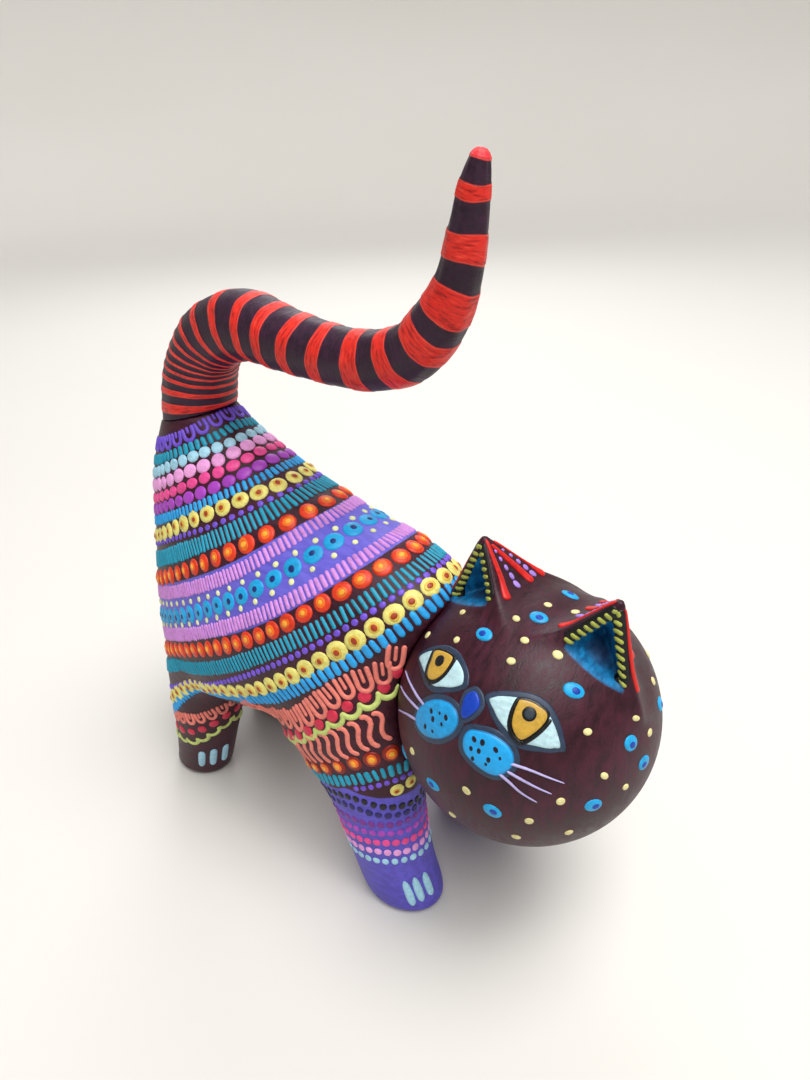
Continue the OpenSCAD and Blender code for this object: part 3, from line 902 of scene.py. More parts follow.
CYAN_SPOTS = [(-12, 26), (4, 45), (7, 70), (34, 23), (67, 13), (94, 31), (64, -15), (27, -37), (-9, -44), (-62, 14), (81, 7)]
CREAM_SPOTS = [(-44, 12), (-22, 18), (-34, 29), (6, 22), (-5, 39), (6, 32), (22, 33), (2, 54), (22, 56), (45, 11), (79, 19), (65, 23),
               (87, 40), (105, 52), (60, -2), (75, -4), (49, -18), (44, -33), (67, -32), (48, -47), (12, -34), (-26, -35), (5, -58), (-65, 73)]
for i, (az, el) in enumerate(CYAN_SPOTS):
    t = rng.uniform(-15, 15)
    head_dot("cyan", az, el, 3.3 * rng.uniform(.92, 1.08), 2.45 * rng.uniform(.92, 1.08), .3, 0, t)
    head_dot("deep_blue", az + rng.uniform(-.8, .8), el + rng.uniform(-.6, .6), 1.35, 1.1, .12, .26, t)
for az, el in CREAM_SPOTS:
    head_dot("cream", az, el, 1.55 * rng.uniform(.85, 1.15), 1.3 * rng.uniform(.85, 1.15), .26, 0, rng.uniform(-30, 30))


def ell(az, el, ra, re, turn=0, n=16):
    t = np.arange(n) * 2 * math.pi / n
    c, s = math.cos(math.radians(turn)), math.sin(math.radians(turn))
    x, y = ra * np.cos(t), re * np.sin(t)
    return np.stack([az + x * c - y * s, el + x * s + y * c], 1)


def grown(o, d):
    o = np.array(o, float)
    c = o.mean(0)
    v = o - c
    return c + v * (1 + d / np.linalg.norm(v, axis=1, keepdims=True))


EYE_L = [(6.1, 5.0), (7.4, 6.8), (9.6, 8.5), (14.8, 10.8), (20.9, 12.6), (26.6, 11.9), (31.4, 8.6), (34.7, 5.4), (37.5, 1.7), (35.6, .4),
         (33.3, -.8), (29.6, -1.8), (26.0, -2.8), (22.1, -3.3), (17.3, -1.8), (12.5, .4), (9.2, 2.8)]
EYE_R = [(-37.5, 2.8), (-34.7, 6.0), (-29.8, 9.2), (-23.6, 11.8), (-17.8, 12.3), (-13.0, 11.0), (-9.1, 9.0), (-7.2, 6.8), (-6.7, 4.4),
         (-10.1, 1.4), (-14.6, -.7), (-18.7, -2.4), (-23.2, -2.1), (-26.5, -1.0), (-32.0, .9)]
IRIS_L = [(16.6, 10.8), (21.1, 12.0), (26.4, 11.4), (28.2, 10.0), (28.4, 7.5), (26.8, 2.8), (23.5, -2.3), (20.1, -1.2), (17.7, 1.5), (16.6, 5.6), (16.3, 9.1)]
IRIS_R = [(-28.3, 9.4), (-23.3, 11.3), (-17.5, 11.6), (-16.3, 9.3), (-16.8, 4.1), (-19.4, .1), (-22.6, -1.2), (-25.0, -.2), (-26.4, 2.6), (-27.2, 5.6)]
NOSE = [(-2.4, 3.1), (-.4, 5.1), (2.4, 3.9), (4.1, 1.1), (3.2, -2.5), (1.0, -6.0), (-1.0, -5.9), (-2.3, -2.4), (-2.9, 1.0)]
PAD_L = [(4.8, -8.6), (3.4, -11.6), (3.9, -15.1), (6.5, -18.2), (11.6, -19.8), (17.2, -20.5), (21.7, -19.2), (24.2, -15.2), (24.5, -11.1),
         (22.0, -7.7), (18.2, -6.2), (13.2, -5.9), (8.6, -7.0)]
PAD_R = [(-1.7, -7.7), (-1.3, -11.6), (-3.5, -16.0), (-8.1, -19.8), (-14.3, -22.1), (-20.1, -21.9), (-23.5, -19.3), (-23.1, -14.8),
         (-19.7, -10.0), (-14.7, -6.3), (-9.4, -4.5), (-4.8, -4.9)]
for eye in (EYE_L, EYE_R):
    blob("slate", grown(eye, 2.5), .12, 0.0)
for pad in (PAD_L, PAD_R):
    blob("slate", grown(pad, 2.5), .12)
blob("slate", grown(NOSE, 1.9), .14)
for eye, iris in ((EYE_L, IRIS_L), (EYE_R, IRIS_R)):
    blob("eye_line", grown(eye, .35), .13, .04)
    blob("eye_white", eye, .18, .1)
    blob("eye_line", grown(iris, .95), .1, .2)
    blob("iris", iris, .14, .25)
for path in ([(15.8, 11.0), (15.7, 8.2), (15.9, 5.0), (16.9, 1.0), (18.9, -1.7), (21.8, -3.1), (24.4, -3.4)],
             [(29.9, 9.4), (29.2, 6.6), (28.2, 3.6), (26.5, 0), (24.4, -3.3)],
             [(-29.3, 9.6), (-28.2, 5.8), (-27.2, 2.4), (-25.8, -.6), (-23.4, -1.9), (-20.6, -2.2)],
             [(-15.4, 11.8), (-15.3, 8.4), (-15.9, 4.0), (-18.0, .2), (-20.8, -2.0)]):
    head_stroke("eye_line", path, .62, .16, lift=.3)
blob("eye_line", ell(21.9, 7.6, 2.75, 2.75), .12, .36)
blob("pupil", ell(22.0, 7.6, 1.9, 1.9), .08, .45)
blob("eye_line", ell(-22.0, 7.3, 2.5, 2.4, 20), .14, .36)
blob("royal", NOSE, .42, .06)
for pad in (PAD_L, PAD_R):
    blob("pad_edge", grown(pad, .45), .2, .06)
    blob("cyan_pad", pad, .3, .1)
for a, e, k in ((-14.5, -11.1, 1.1), (-10.1, -9.7, .7), (-12.4, -13.5, 1.2), (-6.6, -9.7, 1.2), (-15.5, -18.3, 1.1), (-7.5, -13.0, .8), (-10.9, -18.0, .7),
                (7.7, -10.8, 1.2), (11.1, -10.2, 1.3), (7.9, -14.7, 1.0), (11.1, -13.9, 1.1), (16.7, -10.1, 1.2), (10.0, -18.0, .9), (15.8, -15.1, 1.1), (19.5, -12.3, .7), (15.6, -17.2, .7)):
    head_dot("ink", a, e, .62 * k, .85 * k, .1, .38, 35 + rng.uniform(-20, 20))
for w in ([(-19.2, -11.5), (-26.4, -10.3), (-34.5, -8.6), (-46.5, -6.4)], [(-22.4, -14.5), (-32.8, -14.3), (-47.5, -13.6)], [(-22.5, -19.0), (-31.5, -20.5), (-44.5, -23.2)],
          [(23.6, -12.4), (30.7, -11.2), (37.8, -10.7), (45.5, -10.2)], [(24.0, -15.8), (31.5, -16.2), (37.8, -16.4), (43.5, -16.3)], [(21.4, -18.2), (26.9, -19.6), (32.3, -21.3), (40.6, -22.3)]):
    head_stroke("whisker", w, .5, .2, taper=([0, .25, 1], [.9, .9, .28]), lift=.16)

# ears
for mx in (1, -1):
    def e(az, el, r, out=0.0):
        p = look(az, el, r) + OUT * out
        return p * np.array([mx, 1, 1])
    tip, inner, outer, back = e(34.5, 46.7, 1.4 * HEAD_R), e(21, 41, HEAD_R), e(58.5, 33, HEAD_R), e(52, 66, HEAD_R)
    for base, nd in ((inner, 8), (outer, 9)):
        a = base + (tip - base) * .10 + OUT * [mx, 1, 1] * 1.1
        b = base + (tip - base) * .97 + OUT * [mx, 1, 1] * .6
        head_stroke("ear_black", None, 2.7, .14, local=[a, (a + b) / 2, b], smooth=False)
        for k in range(nd):
            t = .1 + .82 * k / (nd - 1)
            p = base + (tip - base) * t + OUT * [mx, 1, 1] * (1.3 - .4 * t)
            mid = (inner + outer) / 2 + (tip - (inner + outer) / 2) * t
            d = mid - p
            d /= np.linalg.norm(d)
            head_stroke("olive", None, .7, .22, local=[p - d * .5, p + d * (1.25 - .35 * t)], smooth=False, lift=.11)
    # red strokes fan from the tip over the back of the ear, with small dots between them
    fan = [[(33, 46.7, 32.6), (28.9, 46.6, 29.7), (24, 46.1, 26.1), (16.5, 43.4, 23.8)],
           [(32.4, 47.8, 31.6), (32.5, 52, 28.7), (32.9, 57.5, 25.7), (28.5, 62, 23.7)],
           [(34.6, 48.4, 31.4), (38.5, 56, 28.6), (43, 63, 26), (45, 70, 24)],
           [(36.6, 47.6, 31.4), (46, 49.5, 28.6), (56, 50, 25.9), (67, 47.5, 23.8)],
           [(36.4, 46.1, 32.2), (45, 43, 30), (53.4, 38, 27.4), (61.5, 31.5, 24.3)]]
    fan = [np.array([look(a, b, c) for a, b, c in f]) * [mx, 1, 1] for f in fan]
    for i, f in enumerate(fan):
        head_stroke("ear_red", None, (1.6, 1.75, 1.6, 1.75, 1.6)[i], .3, local=f, taper=([0, .3, .75, 1], [.4, .62, .9, 1.12]))
    for f, g in zip(fan[:-1], fan[1:]):
        mid = (f + g) / 2
        for k, t in enumerate((.2, .36, .52, .68, .86)):
            p = mid[0] * 0
            x = t * 3
            j = min(int(x), 2)
            p = mid[j] * (1 - (x - j)) + mid[j + 1] * (x - j)
            C = HEAD.settle(hw(p), 8)
            N = HEAD.normal(C)
            Tt = hw(mid[3]) - hw(mid[0])
            Tt = Tt - N * (Tt * N).sum(1, keepdims=True)
            Tt /= np.linalg.norm(Tt)
            r = .25 + .085 * k
            put(HEAD, "lavender", DOT, C, np.cross(Tt, N), Tt, r, r * 1.4, .22)

# spots on the parts of the head that the photograph does not show
seen = [look(a, b) for a, b in CYAN_SPOTS + CREAM_SPOTS]
ear_dirs = [look(36 * k, 52) for k in (1, -1)]
tries = 0
while tries < 900:
    tries += 1
    d = rng.normal(0, 1, 3)
    d /= np.linalg.norm(d)
    az, el = math.degrees(math.atan2(d[0], -d[1])), math.degrees(math.asin(d[2]))
    if abs(az) < 60 and el > -30 and el < 75:
        continue
    if min(math.degrees(math.acos(min(1, float(d @ s)))) for s in seen) < 14.5:
        continue
    if any(math.degrees(math.acos(min(1, float(d @ s)))) < 33 for s in ear_dirs):
        continue
    P = on_head(az, el)
    if BODY.at(P)[0] < 3.2:
        continue
    seen.append(d)
    if len(seen) % 3 == 0:
        head_dot("cyan", az, el, 3.2, 2.4, .3, 0, rng.uniform(-20, 20))
        head_dot("deep_blue", az, el, 1.35, 1.1, .12, .26)
    else:
        head_dot("cream", az, el, 1.5, 1.3, .26, 0, rng.uniform(-30, 30))
HEAD_PAINT, PAINTS = PAINTS, {}

# ---------------------------------------------------------------- tail
TL = [[21.5, 89.7, 7.8], [19.4, 96.9, 7.4], [16.6, 102.2, 6.9], [12.2, 106.2, 6.6], [3.3, 108.8, 6.5], [-7.7, 107, 5.6],
      [-18.9, 105.8, 5.1], [-27.7, 106.2, 5], [-34.7, 108.6, 4.8], [-39.8, 113.8, 4.4], [-43.3, 119.9, 3.5], [-45, 126.7, 2.9],
      [-46, 132.1, 2.3], [-46.9, 135.4, 1.6], [-47.3, 136.7, .7]]
TK = []
for i, k in enumerate(TL):
    p, q = TL[max(i - 1, 0)], TL[min(i + 1, len(TL) - 1)]
    TK.append([0, k[0] + SH, k[1] + .15, k[2], k[2], 12 if i == 0 else math.degrees(math.atan2(q[0] - p[0], q[1] - p[1]))])
TK = np.array(TK)
ss = np.linspace(0, 14, 5000)
cl = cr(TK, ss)
L = np.concatenate([[0], np.cumsum(np.linalg.norm(np.diff(cl[:, 1:3], axis=0), axis=1))])
rows_n = 300
st = np.interp(np.linspace(0, L[-1], rows_n), L, ss)
sides = 112
ph = np.arange(sides) * 360 / sides
SS, PH = np.meshgrid(st, ph, indexing="ij")
P = ring_point(TK, SS.ravel(), PH.ravel(), 1)
R = cr(TK, SS.ravel())
Cn = R[:, :3]
out = P - Cn
out /= np.linalg.norm(out, axis=1, keepdims=True) + 1e-9
STRIPES = [(.2, .52), (.68, .9), (1.08, 1.26), (1.42, 1.57), (1.73, 1.87), (2.05, 2.2), (2.4, 2.57), (2.78, 2.96), (3.22, 3.42), (3.7, 3.92),
           (4.2, 4.42), (4.62, 4.85), (5.12, 5.38), (5.68, 5.98), (6.4, 6.9), (7.32, 7.82), (8.33, 8.84), (9.22, 9.92), (10.43, 10.98),
           (11.7, 12.16), (13.1, 14.6)]
A = np.interp(SS.ravel(), [0, .4, 1, 2.4, 3.4, 4.2, 15], [0, .03, .26, .42, .2, .0, 0])
u = SS.ravel() - A * np.sin(np.radians(PH.ravel())) - .03 * np.sin(np.radians(PH.ravel() * 2 + 40) + SS.ravel() * 2)
u_mm = np.interp(u, ss, L)
sd = np.full(len(u), -3.0)
for a, b in STRIPES:
    a, b = np.interp([a, b], ss, L)
    thin = np.interp((a + b) / 2, [0, 4, 22, 55, 75], [1, .72, .74, .84, 1]) * (b - a) / 2
    a, b = (a + b) / 2 - thin, (a + b) / 2 + thin
    sd = np.maximum(sd, np.minimum(u_mm - a, b - u_mm))
wave = (np.sin(PH.ravel() * .35 + SS.ravel() * 9) * .5 + np.sin(PH.ravel() * .12 + SS.ravel() * 21 + 1) * .5)
raise_ = np.clip((sd + .15) / .3, 0, 1) * (.13 + .03 * wave)
carve = .05 * np.sin(np.radians(PH.ravel() * 5) + SS.ravel() * 1.7) + .04 * np.sin(np.radians(PH.ravel() * 9) - SS.ravel() * 2.3)
fade = np.clip(u_mm / 1.2, 0, 1)
V = P + out * ((raise_ + carve - .08) * fade)[:, None]
n = rows_n
V = np.concatenate([V, [cr(TK, np.array([14.0]))[0, :3] + [0, -.1, .12]]])
quads = []
i, j = np.meshgrid(np.arange(n - 1), np.arange(sides), indexing="ij")
i, j = i.ravel(), j.ravel()
j2 = (j + 1) % sides
faces = np.stack([i * sides + j, i * sides + j2, (i + 1) * sides + j2, (i + 1) * sides + j], 1).tolist()
top = (n - 1) * sides
faces += [[top + a, top + (a + 1) % sides, n * sides] for a in range(sides)]
# the foot: a flat face with a socket for the peg
base_r = V[:sides]
ctr = SEAT_C + [0, 0, .15]
ring_n = sides
mid, low = [], []
nrm = np.array([0, math.sin(tilt), math.cos(tilt)])
for a in range(sides):
    d = base_r[a] - ctr
    dxy = np.array([d[0], d[1]])
    dxy = dxy / np.linalg.norm(dxy) * 2.52
    x, y = dxy
    z = ctr[2] - math.tan(tilt) * y
    mid.append([x, ctr[1] + y, z])
    low.append([x, ctr[1] + y, SEAT_C[2] + 8.5])
o1 = len(V)
o2 = o1 + sides
V = np.concatenate([V, mid, low, [[0, SEAT_C[1], SEAT_C[2] + 8.5]]])
for a in range(sides):
    b = (a + 1) % sides
    faces.append([b, a, o1 + a, o1 + b])
    faces.append([o1 + b, o1 + a, o2 + a, o2 + b])
    faces.append([o2 + b, o2 + a, o2 + sides])
tail = make_mesh("curled_tail", V, faces)
full = np.full(len(V), -3.0)
full[:len(sd)] = sd
full[len(sd)] = 3
attribute(tail, "stripe", np.clip(full, -3, 3))
br = np.zeros((len(V), 3))
pr = np.radians(PH.ravel())
br[:len(sd)] = np.stack([np.cos(pr) * R[:, 3] * .16, np.sin(pr) * R[:, 3] * .16, u_mm], 1)
bat = tail.data.attributes.new("brush", "FLOAT_VECTOR", "POINT")
bat.data.foreach_set("vector", br.astype(np.float32).ravel())
uu = np.zeros(len(V))
uu[:len(sd)] = SS.ravel()
uu[len(sd)] = 14
attribute(tail, "along", uu)

# ---------------------------------------------------------------- materials
C = {
    "violet": "7452d6", "teal": "109cbc", "pale_blue": "a9dcf2", "light_pink": "f0a6e2", "hot_pink": "f04a98", "purple": "a93fc0",
    "sky": "28a4ea", "yellow": "eae07c", "amber": "dcb848", "red_brown": "a83a1c", "red_orange": "e03814", "orange": "f4701c", "gold": "ffb030",
    "pink_lav": "d792e0", "pale_yellow": "e8ecae", "cyan": "12a6e2", "navy": "0b2a74", "coral": "ea8072", "crimson": "cf2a48", "lime": "c3d276",
    "dark_red": "8e1c10", "ink": "100a1e", "navy_dot": "251f66", "plum": "7a2f92", "magenta": "b244c0",
    "deep_blue": "0c3ea8", "cream": "eadf9e", "slate": "2c3c54", "pupil": "26323c", "pad_edge": "1878b4", "eye_white": "bfe2ea", "iris": "caa03c", "eye_line": "0a090b",
    "royal": "0b40b8", "cyan_pad": "17a4ea", "whisker": "b9aee0", "ear_black": "0a0508", "olive": "a9b04a", "ear_red": "d81c16", "lavender": "a884e0",
}


def lin(h, a=1.0):
    c = [int(h[i:i + 2], 16) / 255 for i in (0, 2, 4)]
    return tuple([x / 12.92 if x <= .04045 else ((x + .055) / 1.055) ** 2.4 for x in c] + [a])


def new_mat(name):
    m = bpy.data.materials.new(name)
    m.use_nodes = True
    nt = m.node_tree
    nt.nodes.clear()
    out = nt.nodes.new("ShaderNodeOutputMaterial")
    b = nt.nodes.new("ShaderNodeBsdfPrincipled")
    nt.links.new(b.outputs[0], out.inputs[0])
    return m, nt, b


def node(nt, kind, **kw):
    x = nt.nodes.new(kind)
    for k, v in kw.items():
        if k in x.inputs and not hasattr(type(x), k):
            x.inputs[k].default_value = v
        else:
            setattr(x, k, v)
    return x


def noise(nt, scale, detail=4, rough=.55, vec=None, dist=0):
    x = nt.nodes.new("ShaderNodeTexNoise")
    x.inputs["Scale"].default_value = scale
    x.inputs["Detail"].default_value = detail
    x.inputs["Roughness"].default_value = rough
    x.inputs["Distortion"].default_value = dist
    if vec is not None:
        nt.links.new(vec, x.inputs["Vector"])
    return x


def ramp(nt, fac, a, b, ca=(0, 0, 0, 1), cb=(1, 1, 1, 1)):
    x = nt.nodes.new("ShaderNodeValToRGB")
    x.color_ramp.elements[0].position = a
    x.color_ramp.elements[1].position = b
    x.color_ramp.elements[0].color = ca
    x.color_ramp.elements[1].color = cb
    nt.links.new(fac, x.inputs[0])
    return x


def mix(nt, fac, a, b, kind="MIX"):
    x = nt.nodes.new("ShaderNodeMix")
    x.data_type = "RGBA"
    x.blend_type = kind
    for sock, v in ((x.inputs[0], fac), (x.inputs[6], a), (x.inputs[7], b)):
        if hasattr(v, "is_output"):
            nt.links.new(v, sock)
        elif sock == x.inputs[0]:
            sock.default_value = v
        else:
            sock.default_value = v
    return x.outputs[2]


def mathn(nt, op, a, b=0.0):
    x = nt.nodes.new("ShaderNodeMath")
    x.operation = op
    for s, v in ((x.inputs[0], a), (x.inputs[1], b)):
        if hasattr(v, "is_output"):
            nt.links.new(v, s)
        else:
            s.default_value = v
    return x.outputs[0]


def span(nt, v, a, b, lo=0.0, hi=1.0):
    x = nt.nodes.new("ShaderNodeMapRange")
    nt.links.new(v, x.inputs[0])
    x.inputs[1].default_value, x.inputs[2].default_value = a, b
    x.inputs[3].default_value, x.inputs[4].default_value = lo, hi
    return x.outputs[0]


def stretched(nt, sx, sy, sz):
    c = nt.nodes.new("ShaderNodeTexCoord")
    m = nt.nodes.new("ShaderNodeMapping")
    m.inputs["Scale"].default_value = (sx, sy, sz)
    nt.links.new(c.outputs["Object"], m.inputs["Vector"])
    return m.outputs[0], c.outputs["Object"]


def wood_paint(name, zones=None, tail_mode=False, grain=(1, .22, 1), base=("380c1c", "4a162c", "1d050f")):
    """Matte acrylic over sanded wood: brush streaks, faint grain, small pits and small lighter specks scattered at
    random.
    """
    m, nt, b = new_mat(name)
    vec, obj = stretched(nt, *grain)
    streak = noise(nt, 900, 5, .6, vec, .3)
    broad = noise(nt, 70, 3, .5, obj)
    fine = noise(nt, 2600, 3, .6, obj)
    col = mix(nt, ramp(nt, broad.outputs[0], .35, .68).outputs[0], lin(base[0]), lin(base[1]))
    col = mix(nt, span(nt, streak.outputs[0], .35, .62, .75, 0.0), col, lin(base[2]))
    speck = ramp(nt, fine.outputs[0], .68, .74)
    col = mix(nt, mathn(nt, "MULTIPLY", speck.outputs[0], .25), col, lin("7a4a60"))
    if zones:
        col = zones(nt, col, streak, broad, fine)
    nt.links.new(col, b.inputs["Base Color"])
    nt.links.new(span(nt, streak.outputs[0], .3, .7, .4, .56), b.inputs["Roughness"])
    b.inputs["Specular IOR Level"].default_value = .34
    bump = nt.nodes.new("ShaderNodeBump")
    bump.inputs["Strength"].default_value = .35
    bump.inputs["Distance"].default_value = .00022
    h = mathn(nt, "ADD", streak.outputs[0], mathn(nt, "MULTIPLY", fine.outputs[0], .5))
    if "hair" in nt.nodes:
        h = mathn(nt, "ADD", h, mathn(nt, "MULTIPLY", nt.nodes["hair"].outputs[0], 1.5))
    nt.links.new(h, bump.inputs["Height"])
    nt.links.new(bump.outputs[0], b.inputs["Normal"])
    return m


def attr(nt, name):
    a = nt.nodes.new("ShaderNodeAttribute")
    a.attribute_name = name
    return a.outputs["Fac"]


def body_zones(nt, col, streak, broad, fine):
    wob = mathn(nt, "MULTIPLY", mathn(nt, "SUBTRACT", noise(nt, 420, 2, .5).outputs[0], .5), .5)
    peri = mix(nt, broad.outputs[0], lin("5a52c8"), lin("7a74e0"))
    peri = mix(nt, span(nt, streak.outputs[0], .38, .6, .5, 0), peri, lin("4a40ac"))
    k = span(nt, mathn(nt, "ADD", attr(nt, "band"), wob), -.06, .1)
    col = mix(nt, k, col, peri)
    peri2 = mix(nt, broad.outputs[0], lin("4f44b6"), lin("6c62d6"))
    peri2 = mix(nt, span(nt, streak.outputs[0], .38, .6, .5, 0), peri2, lin("3f358f"))
    k2 = span(nt, mathn(nt, "ADD", attr(nt, "sock"), wob), -.06, .1)
    return mix(nt, k2, col, peri2)


def head_zones(nt, col, streak, broad, fine):
    on_ear = span(nt, attr(nt, "rad"), HEAD_R + .35, HEAD_R + .8)
    inside = mathn(nt, "MULTIPLY", span(nt, attr(nt, "hollow"), .14, .3, 1, 0), span(nt, attr(nt, "rad"), HEAD_R - .3, HEAD_R + .1))
    blue = mix(nt, broad.outputs[0], lin("0a5c96"), lin("1590cc"))
    blue = mix(nt, span(nt, streak.outputs[0], .4, .62, .7, 0), blue, lin("063c66"))
    return mix(nt, inside, col, blue)


def tail_zones(nt, col, streak, broad, fine):
    wob = mathn(nt, "MULTIPLY", mathn(nt, "SUBTRACT", noise(nt, 800, 3, .6).outputs[0], .5), .38)
    a = nt.nodes.new("ShaderNodeAttribute")
    a.attribute_name = "brush"
    hair = noise(nt, 2.6, 4, .62, a.outputs["Vector"], .35)
    hair.name = "hair"
    red = mix(nt, broad.outputs[0], lin("d21c12"), lin("ee3222"))
    red = mix(nt, span(nt, hair.outputs[0], .36, .5, .8, 0), red, lin("8a0e0c"))
    red = mix(nt, span(nt, hair.outputs[0], .56, .72, 0, .5), red, lin("ff5a44"))
    tip = span(nt, attr(nt, "along"), 12.6, 13.4)
    red = mix(nt, mathn(nt, "MULTIPLY", tip, .5), red, lin("f2485a"))
    k = span(nt, mathn(nt, "ADD", attr(nt, "stripe"), wob), -.06, .08)
    edge = span(nt, mathn(nt, "ABSOLUTE", mathn(nt, "ADD", attr(nt, "stripe"), mathn(nt, "SUBTRACT", wob, .1))), 0, .12, .4, 0)
    col = mix(nt, k, col, red)
    return mix(nt, edge, col, lin("ff6a58"))


def dot_paint(name, hexcol, rough=.42):
    """Thick acrylic: a little tone from stroke to stroke, brush marks and a soft gloss."""
    m, nt, b = new_mat(name)
    vec, obj = stretched(nt, 1, .5, 1)
    tone = attr(nt, "tone")
    c = lin(hexcol)
    dark = tuple([x * .66 for x in c[:3]] + [1])
    up = .003
    light = tuple([min(1, x * 1.12 + up) for x in c[:3]] + [1])
    b.inputs["Specular IOR Level"].default_value = .4
    n1 = noise(nt, 1500, 4, .6, vec, .4)
    n2 = noise(nt, 300, 2, .5, obj)
    col = mix(nt, span(nt, n1.outputs[0], .35, .65, .0, 1.0), dark, c)
    col = mix(nt, span(nt, tone, -2, 2, 0, .55), col, light)
    col = mix(nt, span(nt, n2.outputs[0], .55, .75, 0, .35), col, dark)
    nt.links.new(col, b.inputs["Base Color"])
    nt.links.new(span(nt, n1.outputs[0], .3, .7, rough - .08, rough + .12), b.inputs["Roughness"])
    bump = nt.nodes.new("ShaderNodeBump")
    bump.inputs["Strength"].default_value = .25
    bump.inputs["Distance"].default_value = .00012
    nt.links.new(n1.outputs[0], bump.inputs["Height"])
    nt.links.new(bump.outputs[0], b.inputs["Normal"])
    return m


def bare_wood(name):
    m, nt, b = new_mat(name)
    vec, obj = stretched(nt, 1, 1, .12)
    g = noise(nt, 1400, 5, .6, vec, .8)
    f = noise(nt, 260, 3, .5, obj)
    col = mix(nt, g.outputs[0], lin("a98453"), lin("dcbf8e"))
    col = mix(nt, span(nt, f.outputs[0], .5, .75, 0, .5), col, lin("8f6a3e"))
    nt.links.new(col, b.inputs["Base Color"])
    nt.links.new(span(nt, g.outputs[0], .3, .7, .55, .75), b.inputs["Roughness"])
    bump = nt.nodes.new("ShaderNodeBump")
    bump.inputs["Strength"].default_value = .4
    bump.inputs["Distance"].default_value = .0002
    nt.links.new(g.outputs[0], bump.inputs["Height"])
    nt.links.new(bump.outputs[0], b.inputs["Normal"])
    return m


def finish_piece(ob, body_name, slot, mat, node_name=None):
    ob.data.materials.clear()
    ob.data.materials.append(mat)
    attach(ob, body_name)
    if node_name:
        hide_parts(node_name)


finish_piece(body, "figure", "body_paint", wood_paint("body_acrylic", body_zones), "body")
finish_piece(head, "figure", "head_paint", wood_paint("head_acrylic", head_zones, grain=(.5, 1, .3)), "head")
finish_piece(tail, "tail", "tail_paint", wood_paint("tail_acrylic", tail_zones, grain=(.35, 1, 1), base=("2e1228", "3d1a38", "1a0917")), "tail")
wood = bare_wood("bare_copal")
for nname in ("tail_peg", "neck_peg"):
    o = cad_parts[nname]
    o.data.materials.clear()
    o.data.materials.append(wood)

MATS = {}
for group, paints, slot in (("body", BODY_PAINT, "body_paint"), ("head", HEAD_PAINT, "head_paint")):
    for colour, p in paints.items():
        V = np.concatenate(p.V)
        faces = []
        for f in p.Fc:
            faces += f.tolist()
        ob = make_mesh(f"{group}_{colour}", V, faces)
        attribute(ob, "tone", np.concatenate(p.tone))
        if colour not in MATS:
            MATS[colour] = dot_paint("paint_" + colour, C[colour], {"eye_line": .3, "ink": .35, "iris": .34, "royal": .36}.get(colour, .44))
        finish_piece(ob, "figure", slot, MATS[colour])

# ---------------------------------------------------------------- stage
mesh = bpy.data.meshes.new("floor")
prof = [(.4, 0.0), (1.3, 0.0)] + [(1.3 + .6 * math.sin(math.radians(a)), .6 - .6 * math.cos(math.radians(a))) for a in range(6, 91, 6)] + [(1.9, 1.2)]
turns = 96
pts, fcs = [(0, 0, 0)], []
for r, z in prof:
    pts += [(r * math.cos(2 * math.pi * i / turns), r * math.sin(2 * math.pi * i / turns), z) for i in range(turns)]
for i in range(turns):
    j = (i + 1) % turns
    fcs.append((0, 1 + i, 1 + j))
    for k in range(len(prof) - 1):
        o = 1 + k * turns
        fcs.append((o + i, o + turns + i, o + turns + j, o + j))
mesh.from_pydata(pts, [], fcs)
mesh.polygons.foreach_set("use_smooth", [True] * len(fcs))
mesh.update()
floor = bpy.data.objects.new("floor", mesh)
bpy.context.scene.collection.objects.link(floor)
psi, theta, roll = math.radians(51.5), math.radians(28), math.radians(3)
floor.location = (0, 0, -0.00015)
m, nt, b = new_mat("floor_paper")
fn = noise(nt, 6, 3, .5)
nt.links.new(mix(nt, fn.outputs[0], lin("d8d5cf"), lin("dfddd8")), b.inputs["Base Color"])
b.inputs["Roughness"].default_value = .85
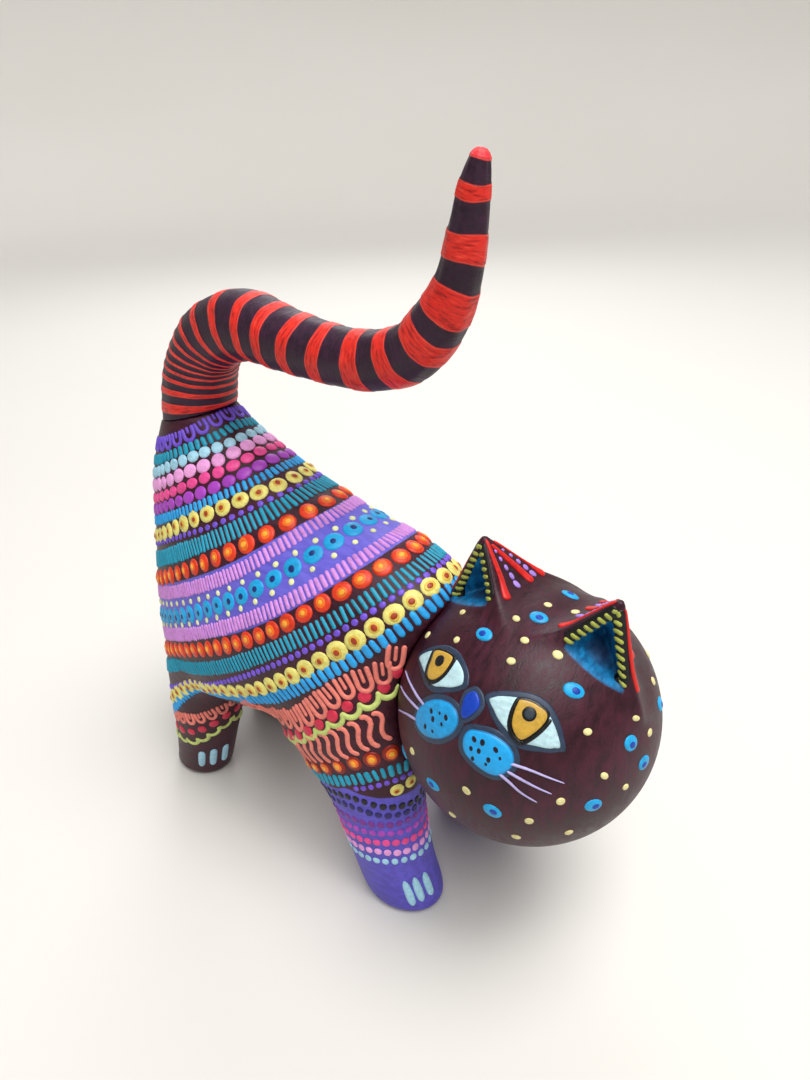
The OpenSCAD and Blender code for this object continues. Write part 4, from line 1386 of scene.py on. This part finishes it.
floor.data.materials.append(m)

# camera, at the photograph's viewing angle
cx = Vector((math.cos(psi), -math.sin(psi), 0))
cy = Vector((math.sin(psi), math.cos(psi), 0))
zz = Vector((0, 0, 1))
fwd = cy * math.cos(theta) - zz * math.sin(theta)
upv = cy * math.sin(theta) + zz * math.cos(theta)
right = cx * math.cos(roll) - upv * math.sin(roll)
up = cx * math.sin(roll) + upv * math.cos(roll)
cam = bpy.data.cameras.new("camera")
cam.lens, cam.sensor_width, cam.sensor_fit = 26, 36, "AUTO"
cam.clip_start = .005
camera = bpy.data.objects.new("camera", cam)
bpy.context.scene.collection.objects.link(camera)
loc = Vector((-.09715, -.0880, .140))
camera.matrix_world = Matrix.Translation(loc) @ Matrix((
    (right.x, up.x, -fwd.x, 0), (right.y, up.y, -fwd.y, 0), (right.z, up.z, -fwd.z, 0), (0, 0, 0, 1)))
bpy.context.scene.camera = camera


def area(name, pos, target, size, power, colour=(1, 1, 1)):
    l = bpy.data.lights.new(name, "AREA")
    l.shape, l.size, l.energy, l.color = "DISK", size, power, colour
    o = bpy.data.objects.new(name, l)
    bpy.context.scene.collection.objects.link(o)
    o.location = pos
    o.rotation_euler = (Vector(target) - Vector(pos)).to_track_quat("-Z", "Y").to_euler()


sun = bpy.data.lights.new("key", "SUN")
sun.energy, sun.angle, sun.color = 1.75, math.radians(38), (1, .985, .96)
so = bpy.data.objects.new("key", sun)
bpy.context.scene.collection.objects.link(so)
so.rotation_euler = Vector((.30, .42, -1)).to_track_quat("-Z", "Y").to_euler()
area("top", (.04, -.2, .62), (0, -.01, .06), .34, 2.4, (1, .99, .97))
area("rim", (.5, .42, .5), (0, 0, .06), .4, 1.6, (.97, .98, 1))
w = bpy.data.worlds.new("studio")
bpy.context.scene.world = w
w.use_nodes = True
w.node_tree.nodes["Background"].inputs[0].default_value = (.86, .88, .92, 1)
w.node_tree.nodes["Background"].inputs[1].default_value = .4
bpy.context.scene.view_settings.view_transform = "Standard"

bpy.context.view_layer.update()
text = {}
